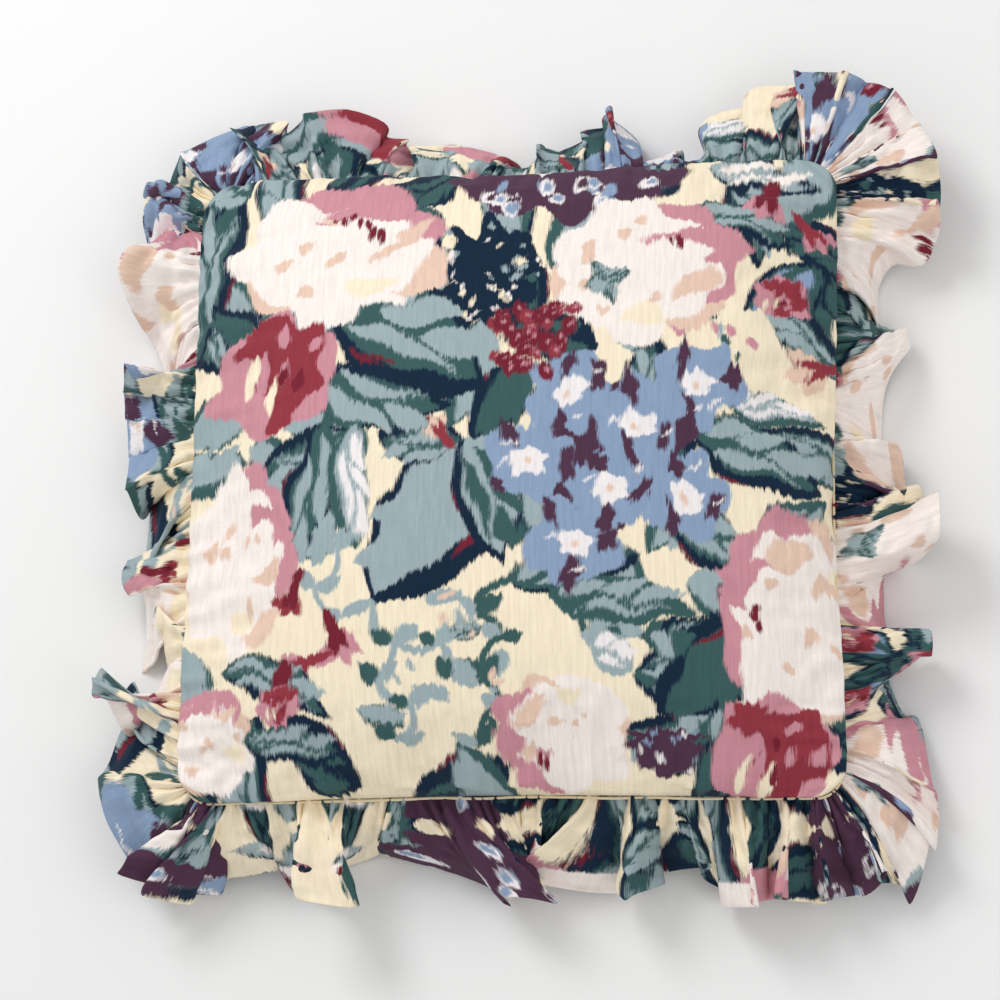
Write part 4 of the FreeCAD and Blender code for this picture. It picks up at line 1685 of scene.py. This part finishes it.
@dataclass
class Ruffle:
    """The gathered strip: four cut lengths, folded double, that run on from one another round the seam."""

    seam: SeamLine
    finishes: Finishes
    floral: FloralPrint
    width: float = 72 * MM
    fullness: float = 1.95  # length of cloth to length of seam, away from the corners
    corner_cloth: float = 170 * MM  # extra cloth gathered in at each corner
    proud_corner_cloth: float = 300 * MM  # and at the corner that stands open like a fan
    step: float = 4.5 * MM  # between points along the cloth
    rows: int = 17
    inside: float = 4 * MM  # how far the gathers run in behind the seam
    thickness: float = 1.3 * MM  # of the folded strip
    hang: tuple[float, ...] = (26, 42, 48, 30)  # mean fall of each side below level, in degrees
    corner_hang: float = 26  # the same at a corner
    sway: float = 19  # how much it varies along the cloth
    proud: int = 1  # number of the corner that stands open, nearly level
    fold: float = 70 * MM  # cloth in one large fold
    gather: float = 17 * MM  # cloth in one small gather at the seam
    cut_step: float = 0.113  # from one length to the next on the cloth, in metres

    def gathers(self) -> tuple[Array, Array]:
        """Gather the cloth unevenly, with more of it at the corners.

        Returns:
            Distances along the seam, and the cloth used up to each.
        """
        places = np.linspace(0, self.seam.length, 2401)
        draw = np.random.default_rng(7)
        rate = np.full_like(places, self.fullness)
        spread = 15 * MM
        for number in range(4):
            extra = self.proud_corner_cloth if number == self.proud else self.corner_cloth
            away = self.from_corner(places, number)
            rate += extra / (spread * math.sqrt(math.tau)) * np.exp(-(away / spread) ** 2 / 2)
        for waves in (9, 14, 23):
            rate += 0.14 * np.sin(math.tau * waves * places / self.seam.length + draw.uniform(0, math.tau))
        used = np.concatenate([[0], np.cumsum((rate[1:] + rate[:-1]) / 2 * np.diff(places))])
        return places, used

    def from_corner(self, place: Array, number: int) -> Array:
        """Distance along the seam from a corner, the shorter way round."""
        whole = self.seam.length
        return (place - (number + 0.5) * self.seam.side + whole / 2) % whole - whole / 2

    def wander(self, along: Array, total: float, seed: int, size: float) -> Array:
        """Draw a smooth random value along the cloth, which closes round the ring.

        Args:
            along: Places along the cloth.
            total: Cloth in the whole ring.
            seed: Picks the values.
            size: The shortest wave.

        Returns:
            A value for each place, about 1 in size.
        """
        draw = np.random.default_rng(seed)
        value = np.zeros_like(along)
        most = int(total / size)
        for waves in range(max(2, most // 5), most + 1, max(1, most // 14)):
            value += draw.normal() * np.sin(math.tau * waves * along / total + draw.uniform(0, math.tau))
        return value / max(1e-9, np.std(value))

    def tilt(self, place: Array, along: Array, total: float) -> Array:
        """How far each part of the strip hangs below level.

        Args:
            place: Its place along the seam.
            along: Its place along the cloth.
            total: Cloth in the whole ring.

        Returns:
            Angles in radians.
        """
        turned = np.append(self.hang, self.hang[0])
        mean = np.interp(place, self.seam.side * np.arange(5), turned)
        mean = mean + self.sway * self.wander(along, total, 24, 120 * MM)
        for number in range(4):
            level = 1 if number == self.proud else self.corner_hang
            near = np.exp(-(self.from_corner(place, number) / (34 * MM)) ** 2)
            mean = mean * (1 - near) + level * near
        return np.radians(np.clip(mean, -14, 64))

    def start(self) -> tuple[Array, Array, Array]:
        """Gather the flat ring into folds that open, lean and fall unevenly.

        Returns:
            The points by row and column, the cloth used up to each column, and its place along the seam.
        """
        places, used = self.gathers()
        total = used[-1]
        columns = int(round(total / self.step))
        along = np.arange(columns) * total / columns
        place = np.interp(along, used, places)
        root, outward = self.seam.at(place)
        tangent = np.stack([-outward[:, 1], outward[:, 0]], -1)
        local = 1 / np.interp(place, places, np.gradient(places, used))
        phase = math.tau * round(total / self.fold) * along / total
        phase += 1.5 * self.wander(along, total, 21, 200 * MM)
        fine = math.tau * round(total / self.gather) * along / total
        fine += 1.4 * self.wander(along, total, 22, 60 * MM)
        lean = np.clip(0.95 * self.wander(along, total, 23, 120 * MM), -1.6, 1.6)
        slant = np.clip(0.3 * self.wander(along, total, 27, 190 * MM), -0.7, 0.7)
        size = np.clip(1 + 0.34 * self.wander(along, total, 25, 150 * MM), 0.4, 1.7)
        reach_share = 1 - 0.1 * np.abs(self.wander(along, total, 26, 90 * MM))
        calm = np.exp(-(self.from_corner(place, self.proud) / (46 * MM)) ** 2)
        lean, slant, size = lean * (1 - 0.75 * calm), slant * (1 - calm), size * (1 - 0.4 * calm)
        reach_share = reach_share * (1 - calm) + 1.04 * calm
        tilt = self.tilt(place, along, total)
        corner = np.clip(local / self.fullness - 1, 0, 4)
        reach = np.linspace(0, self.width, self.rows)
        rows = []
        for r in reach:
            share = r / self.width
            opened = local / (1 + corner * share * 1.1)
            height = self.fold / 4 * np.sqrt(np.clip(1 - 1 / opened**2, 0.05, 1)) * size
            wave = height * smooth_step(share, -0.05, 1.05) * np.sin(phase)
            held = smooth_step(share, -0.04, 0.1) * (1 - smooth_step(share, 0.25, 0.9))
            small = 2.8 * MM * held * np.sin(fine)
            crumple = 2.6 * MM * share * ripple(along, np.full_like(along, r * 1.3), 30 * MM, 77)
            crease = ripple(along, np.full_like(along, r), 13 * MM, 78)
            crumple += 1.1 * MM * smooth_step(share, 0, 0.3) * crease
            bow = 1 + 0.25 * (1 - share)
            out = r * reach_share * np.cos(tilt * share**0.5) - self.inside * (1 - share)
            drop = r * np.sin(tilt) * share**0.5 / bow
            level = self.seam.level - drop + wave + small + crumple
            side = lean * wave + 0.08 * self.fold * share * np.sin(2 * phase) + slant * r * share**0.4
            plan = root + outward * out[:, None] + tangent * side[:, None]
            level = 3 * MM * np.logaddexp(0, (level - 1 * MM) / (3 * MM)) + 1.2 * MM
            rows.append(np.column_stack([plan, level]))
        return np.array(rows), along, place

    def build(self) -> None:
        """Make and dress the four lengths."""
        grid, along, place = self.start()
        grid = finer(grid, True)
        along = self.halve(along, along[-1] + along[1])
        place = self.halve(place, self.seam.length)
        rows, columns = grid.shape[:2]
        normal = normals_of(grid, True)
        share = np.linspace(0, 1, rows)[:, None, None]
        half = self.thickness / 2 * (0.75 + 0.5 * np.sin(math.pi * share))
        edge = grid[-1] - grid[-2]
        edge = edge / np.linalg.norm(edge, axis=-1, keepdims=True) * self.thickness * 0.6
        upper, lower = grid + normal * half, grid - normal * half
        loop = np.concatenate([upper, (grid[-1] + edge)[None], lower[::-1]])
        down = np.linspace(0, self.width, rows)
        across = np.concatenate([down, [self.width + 0.6 * MM], 2 * self.width + 1.2 * MM - down[::-1]])
        side_of = np.floor(((place + self.seam.side / 2) % self.seam.length) / self.seam.side).astype(int)
        for number, side in enumerate(Side):
            chosen = np.nonzero(side_of == number)[0]
            if number == 0:
                chosen = np.concatenate([chosen[chosen > columns / 2], chosen[chosen <= columns / 2]])
            self.strip(side, number, loop[:, chosen], along[chosen], across, along[-1] + along[1])

    def halve(self, values: Array, whole: float) -> Array:
        """Add a value midway between each two round the ring."""
        after = np.append(values[1:], values[0] + whole)
        return np.stack([values, (values + after) / 2], 1).ravel()

    def strip(self, side: Side, number: int, loop: Array, along: Array, across: Array, total: float) -> None:
        """Make one cut length as a closed piece.

        Args:
            side: Which length it is.
            number: Its order round the seam.
            loop: Its points: round the folded strip by row, along it by column.
            along: Cloth used up to each column.
            across: Distance across the cloth of each row.
            total: Cloth in the whole ring.
        """
        rows, columns = loop.shape[:2]
        faces = grid_faces(rows + 1, columns)
        faces = [tuple(i % (rows * columns) for i in face) for face in faces]
        faces.append(tuple(i * columns for i in range(rows)))
        faces.append(tuple(i * columns + columns - 1 for i in reversed(range(rows))))
        piece = add_mesh(side.value.replace("ruffle", "frill"), loop.reshape(-1, 3), faces)
        shift = self.cut_step * (number + 1)
        length = (along - along[0]) % total
        cloth = np.stack(np.broadcast_arrays(length[None, :], across[:, None] + shift), -1).reshape(-1, 2)
        dye_mesh(piece.data, cloth, self.floral.layers(cloth))
        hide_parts(side.value)
        finish_piece(piece, ROOT, self.finishes.printed)


@dataclass
class Edging:
    """The thin plain cord edging that shows between the front panel and the ruffle."""

    seam: SeamLine
    finishes: Finishes
    radius: float = 1.0 * MM
    proud: float = 1.2 * MM  # of the seam
    columns: int = 720
    sides: int = 10

    def build(self) -> None:
        """Make the edging as one closed tube with a faint twist of the cord under its cloth."""
        low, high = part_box("seam_edging")
        place = np.linspace(0, self.seam.length, self.columns, endpoint=False)
        middle, outward = self.seam.at(place)
        draw = 0.35 * MM * ripple(place, np.zeros_like(place), 60 * MM, 51)
        rows = []
        for i in range(self.sides):
            a = math.tau * i / self.sides
            plump = self.radius * (1 + 0.05 * np.sin(place * math.tau / (3.2 * MM) + a))
            out = self.proud + plump * math.cos(a) + draw
            level = (low[2] + high[2]) / 2 + plump * math.sin(a) * 0.8
            rows.append(np.column_stack([middle + outward * out[:, None], level]))
        grid = np.array(rows)
        faces = [tuple(i % (self.sides * self.columns) for i in face)
                 for face in grid_faces(self.sides + 1, self.columns, wrap=True)]
        piece = add_mesh("edging_cord", grid.reshape(-1, 3), faces)
        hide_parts("seam_edging")
        finish_piece(piece, ROOT, self.finishes.edging)


@dataclass
class Insert:
    """The stuffed insert inside the cover: two plain squares round loose fibre."""

    frame: Frame
    finishes: Finishes
    cloth: float = 0.5 * MM
    points: int = 61
    cut: float = 0.457  # side of its cut square, in metres
    room: float = 4 * MM  # that the pressed front leaves below its node's top
    clear: float = 1.5 * MM  # left free at each side

    def shell(self, node: str, up: bool) -> Array:
        """A crowned surface that fills a node's box.

        Args:
            node: The CAD node.
            up: It is crowned upwards; otherwise it hangs down.

        Returns:
            Points by row and column.
        """
        low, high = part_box(node)
        line = np.sin(np.linspace(-1, 1, self.points) * math.pi / 2)
        a, b = np.meshgrid(line, line)
        half = high[0] - self.clear
        corner = 1 - 0.035 * smooth_step(np.abs(a * b), 0.6, 1)
        share = (1 - np.abs(a) ** 4) * (1 - np.abs(b) ** 4)
        wrinkle = 1.2 * MM * ripple(a * half, b * half, 45 * MM, 52) * share
        if up:
            z = self.frame.level + (high[2] - self.room - self.frame.level) * share + wrinkle
        else:
            z = self.frame.level - 1 * MM - (self.frame.level + 2 * MM) * share + wrinkle
            z = np.maximum(z, low[2] + 1.2 * MM)
        return np.stack([a * half * corner, b * half * corner, z], -1)

    def build(self) -> None:
        """Make the casing's halves and the fibre inside them."""
        for name, up in (("casing_front", True), ("casing_back", False)):
            node = "insert_" + name
            grid = self.shell(node, up)
            piece = add_mesh(name, grid.reshape(-1, 3), grid_faces(self.points, self.points, flip=not up))
            body = piece.modifiers.new("cloth", "SOLIDIFY")
            body.thickness = self.cloth
            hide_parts(node)
            finish_piece(piece, ROOT, self.finishes.casing)
        self.stuffing()

    def stuffing(self) -> None:
        """Make the fibre as one padded body, with its surface in soft clumps."""
        front, back = self.shell("insert_fill", True), self.shell("insert_fill", False)
        narrower, thinner = 0.975, 0.96
        count = self.points**2
        points = np.concatenate([front.reshape(-1, 3), back.reshape(-1, 3)])
        points[:, :2] *= narrower
        points[:, 2] = self.frame.level + (points[:, 2] - self.frame.level) * thinner
        faces = grid_faces(self.points, self.points)
        faces += [tuple(count + i for i in q) for q in grid_faces(self.points, self.points, flip=True)]
        border = list(range(self.points))
        border += [(i + 1) * self.points - 1 for i in range(1, self.points)]
        border += [count - 1 - i for i in range(1, self.points)]
        border += [(self.points - 1 - i) * self.points for i in range(1, self.points - 1)]
        for i, start in enumerate(border):
            end = border[(i + 1) % len(border)]
            faces.append((end, start, count + start, count + end))
        piece = add_mesh("stuffing", points, faces)
        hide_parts("insert_fill")
        finish_piece(piece, ROOT, self.finishes.fibre)


@dataclass(frozen=True)
class ZipPlane:
    """The zip's own axes: x along it, w across it towards the seam, n out of the cloth."""

    middle: Vector
    across: Vector
    out: Vector

    @classmethod
    def read(cls) -> "ZipPlane":
        """Read the plane from the pull's hinge and the tapes' boxes.

        Returns:
            The axes.
        """
        swing = next(j for j in frame["record"]["behaviour"]["joints"] if j["name"] == "pull_swing")
        across = Vector(swing["axis"]).normalized()
        out = Vector((0, -across.z, across.y))
        low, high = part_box("zip_tape_lower")
        low2, high2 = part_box("zip_tape_upper")
        y = (low[1] + high2[1]) / 2
        z = (high[2] + low2[2]) / 2
        return cls(Vector((0, y, z)), across, out)

    def point(self, x: float, w: float, n: float) -> Vector:
        """A point in the zip's own axes."""
        return self.middle + Vector((x, 0, 0)) + self.across * w + self.out * n

    def grid(self, x: Array, w: Array, n: Array) -> Array:
        """Many such points."""
        base, across, out = (np.array(v) for v in (self.middle, self.across, self.out))
        return base + x[..., None] * np.array((1, 0, 0)) + w[..., None] * across + n[..., None] * out


@dataclass
class Zip:
    """Tapes, coils, stops, slider and pull, with the folded strip above them."""

    finishes: Finishes
    floral: FloralPrint
    plane: ZipPlane
    tape: float = 0.5 * MM
    tape_width: float = 12 * MM
    coil_gap: float = 0.7 * MM  # from the middle line to the tape's edge
    pitch: float = 1.45 * MM  # from one turn of a coil to the next
    wire: float = 0.32 * MM  # radius of its thread
    coil_height: float = 0.62 * MM  # half the height of its turns
    coil_reach: float = 1.05 * MM  # and half their width
    cloth: float = 0.45 * MM  # of the folded strip
    strip_cut: Pair = (0.05, 0.3)  # where on the cloth the strip is cut, in metres

    def build(self) -> None:
        """Make and dress every piece of the zip."""
        self.tapes()
        self.coils()
        self.strip()
        for node in ("zip_slider", "zip_pull", "zip_top_stops", "zip_bottom_stop"):
            item = bpy.data.objects[node]
            item.data.materials.clear()
            item.data.materials.append(self.finishes.brass)
            soft = item.modifiers.new("soft_edges", "BEVEL")
            soft.width, soft.segments, soft.angle_limit = 0.12 * MM, 2, math.radians(40)

    def tapes(self) -> None:
        """The two woven tapes, with a corded edge beside the coils."""
        for name, node, way in (("tape_upper", "zip_tape_upper", 1), ("tape_lower", "zip_tape_lower", -1)):
            low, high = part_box(node)
            x = np.linspace(low[0], high[0], 241)
            w = np.linspace(self.coil_gap, self.coil_gap + self.tape_width, 13)
            gx, gw = np.meshgrid(x, w)
            cord = 0.14 * MM * np.exp(-((gw - w[0] - 0.5 * MM) / (0.5 * MM)) ** 2)
            n = self.tape / 2 * np.ones_like(gx) + cord
            top = self.plane.grid(gx, gw * way, n)
            under = self.plane.grid(gx, gw * way, -n)
            piece = self.closed(name, top, under, way < 0)
            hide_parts(node)
            finish_piece(piece, ROOT, self.finishes.tape)

    def closed(self, name: str, top: Array, under: Array, flip: bool) -> bpy.types.Object:
        """Make a closed plate between two grids of points.

        Args:
            name: The piece's name.
            top: Points of one face by row and column.
            under: Points of the other.
            flip: Turn the faces over.

        Returns:
            The piece.
        """
        rows, columns = top.shape[:2]
        count = rows * columns
        upper = grid_faces(rows, columns, flip=flip)
        faces = list(upper) + [tuple(count + i for i in q[::-1]) for q in upper]
        edges = {(q[i], q[(i + 1) % 4]) for q in upper for i in range(4)}
        faces += [(j, i, count + i, count + j) for i, j in edges if (j, i) not in edges]
        return add_mesh(name, np.concatenate([top.reshape(-1, 3), under.reshape(-1, 3)]), sorted(faces))

    def coils(self) -> None:
        """The two coils as real turns of thread."""
        for name, node, way in (("coil_upper", "zip_coil_upper", 1), ("coil_lower", "zip_coil_lower", -1)):
            low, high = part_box(node)
            start, end = low[0] + 0.5 * MM, high[0] - 0.5 * MM
            turns = int((end - start) / self.pitch)
            per_turn = 12
            t = np.arange(turns * per_turn + 1) / per_turn
            x = start + (t + (0.5 if way < 0 else 0)) * self.pitch
            a = t * math.tau
            w = self.coil_gap + self.coil_reach + self.coil_reach * np.cos(a) * 0.98
            n = self.tape / 2 + self.wire + self.coil_height * (1 + np.sin(a))
            path = self.plane.grid(x, w * way, n)
            piece = self.tube(name, path, self.wire)
            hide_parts(node)
            finish_piece(piece, ROOT, self.finishes.nylon)

    def tube(self, name: str, path: Array, radius: float, sides: int = 6) -> bpy.types.Object:
        """Make a closed round tube.

        Args:
            name: The piece's name.
            path: Points of its middle line.
            radius: Its radius.
            sides: Points round it.

        Returns:
            The piece.
        """
        along = np.gradient(path, axis=0)
        along /= np.linalg.norm(along, axis=-1, keepdims=True)
        first = np.cross(along, np.array(self.plane.across))
        first /= np.maximum(np.linalg.norm(first, axis=-1, keepdims=True), 1e-9)
        second = np.cross(along, first)
        turns = [math.tau * i / sides for i in range(sides)]
        rings = [path + radius * (first * math.cos(a) + second * math.sin(a)) for a in turns]
        grid = np.stack(rings, 1)
        faces = grid_faces(len(path), sides, wrap=True)
        faces.append(tuple(range(sides)))
        faces.append(tuple((len(path) - 1) * sides + i for i in reversed(range(sides))))
        return add_mesh(name, grid.reshape(-1, 3), faces)

    def strip(self) -> None:
        """The narrow folded strip of printed cloth between the zip and the seam, with its topstitching."""
        low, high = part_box("back_strip")
        near, far = 5.4 * MM, self.coil_gap + self.tape_width - 1.2 * MM
        x = np.linspace(low[0], high[0], 361)
        curl = 0.35 * MM
        level = self.tape / 2 + 0.75 * MM
        steps = 12
        path = [(far + (near - far) * i / steps, 0.0, 0.0) for i in range(steps)]
        path += [(near - curl * math.sin(t), curl * (1 - math.cos(t)), t) for t in np.linspace(0, math.pi, 9)]
        path += [(near + (far - near) * i / steps, 2 * curl, math.pi) for i in range(1, steps + 1)]
        outer, inner = [], []
        for w, rise, turned in path:
            stitch = 0.14 * MM * math.exp(-((w - near - 1.8 * MM) / (0.5 * MM)) ** 2) * (turned > 3)
            dent = stitch * (0.6 + 0.4 * np.sin(x * math.tau / (2.8 * MM)))
            for rows, way in ((outer, 1), (inner, -1)):
                off = way * self.cloth / 2
                across, up = -math.sin(turned) * off, -math.cos(turned) * off
                rows.append(self.plane.grid(x, np.full_like(x, w + across), level + rise + up - dent))
        piece = self.closed("strip_fold", np.array(outer), np.array(inner), True)
        points = point_array(piece.data)
        cloth = points[:, :2] + np.array(self.strip_cut)
        dye_mesh(piece.data, cloth, self.floral.layers(cloth))
        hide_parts("back_strip")
        finish_piece(piece, ROOT, self.finishes.printed)
        2 * (far - near)


@dataclass
class Studio:
    """Plain pale floor, soft light and the camera."""

    frame: Frame
    finishes: Finishes
    elevation: float = 72.3  # of the camera above the floor, in degrees
    azimuth: float = 30.2  # from the bottom edge towards the right
    roll: float = -30.5  # round its own line of sight
    distance: float = 1.9  # from where it aims
    view: float = 0.679  # width seen at the seam
    aim: Pair = (-8.4 * MM, -12.8 * MM)
    sky: float = 0.62  # strength of the light from all round

    def floor(self) -> None:
        """Make the floor."""
        half = 3.0
        corners = [(-half, -half, 0), (half, -half, 0), (half, half, 0), (-half, half, 0)]
        piece = add_mesh("floor", corners, [(0, 1, 2, 3)], smooth=False)
        piece.data.materials.append(self.finishes.floor)

    def light(self) -> None:
        """Soft light from all round, a little stronger from the top left."""
        world = bpy.data.worlds.new("studio")
        bpy.context.scene.world = world
        world.use_nodes = True
        sky = world.node_tree.nodes["Background"]
        sky.inputs["Color"].default_value = (1.0, 1.0, 1.0, 1.0)
        sky.inputs["Strength"].default_value = self.sky
        lamps = (("key", (-0.9, 1.1, 1.7), 0.9, 18.0), ("fill", (1.3, -0.7, 1.6), 1.2, 5.0))
        for name, where, side, power in lamps:
            lamp = bpy.data.lights.new(name, "AREA")
            lamp.energy, lamp.size = power, side
            made = bpy.data.objects.new(name, lamp)
            made.location = where
            towards = Vector((0, 0, self.frame.level)) - Vector(where)
            made.rotation_euler = towards.to_track_quat("-Z", "Y").to_euler()
            bpy.context.collection.objects.link(made)

    def camera(self) -> None:
        """Look down on the front panel from a little towards the bottom edge."""
        scene = bpy.context.scene
        lens = bpy.data.cameras.new("camera")
        made = bpy.data.objects.new("camera", lens)
        scene.collection.objects.link(made)
        target = Vector((*self.aim, self.frame.level))
        lift, turn = math.radians(self.elevation), math.radians(self.azimuth)
        away = Vector((math.sin(turn) * math.cos(lift), -math.cos(turn) * math.cos(lift), math.sin(lift)))
        made.location = target + away * self.distance
        level = (-away).to_track_quat("-Z", "Y")
        made.rotation_euler = (level @ Quaternion((0, 0, 1), math.radians(self.roll))).to_euler()
        lens.sensor_width = 36
        lens.lens = lens.sensor_width * self.distance / self.view
        scene.camera = made
        scene.view_settings.view_transform = "Standard"


def main() -> None:
    """Build the studio, then the pillow from the outside in."""
    logging.basicConfig(level=logging.INFO, format="%(name)s: %(message)s")
    sizes = Frame.read(cloth=0.8 * MM)
    finishes = Finishes.make()
    floral = FloralPrint()
    seam = SeamLine(half=sizes.half, level=sizes.level)
    studio = Studio(sizes, finishes)
    studio.floor()
    studio.camera()
    studio.light()
    Cover(sizes, seam, finishes, floral).build()
    Ruffle(seam, finishes, floral).build()
    Edging(seam, finishes).build()
    Insert(sizes, finishes).build()
    Zip(finishes, floral, ZipPlane.read()).build()


if __name__ == "__main__":
    main()
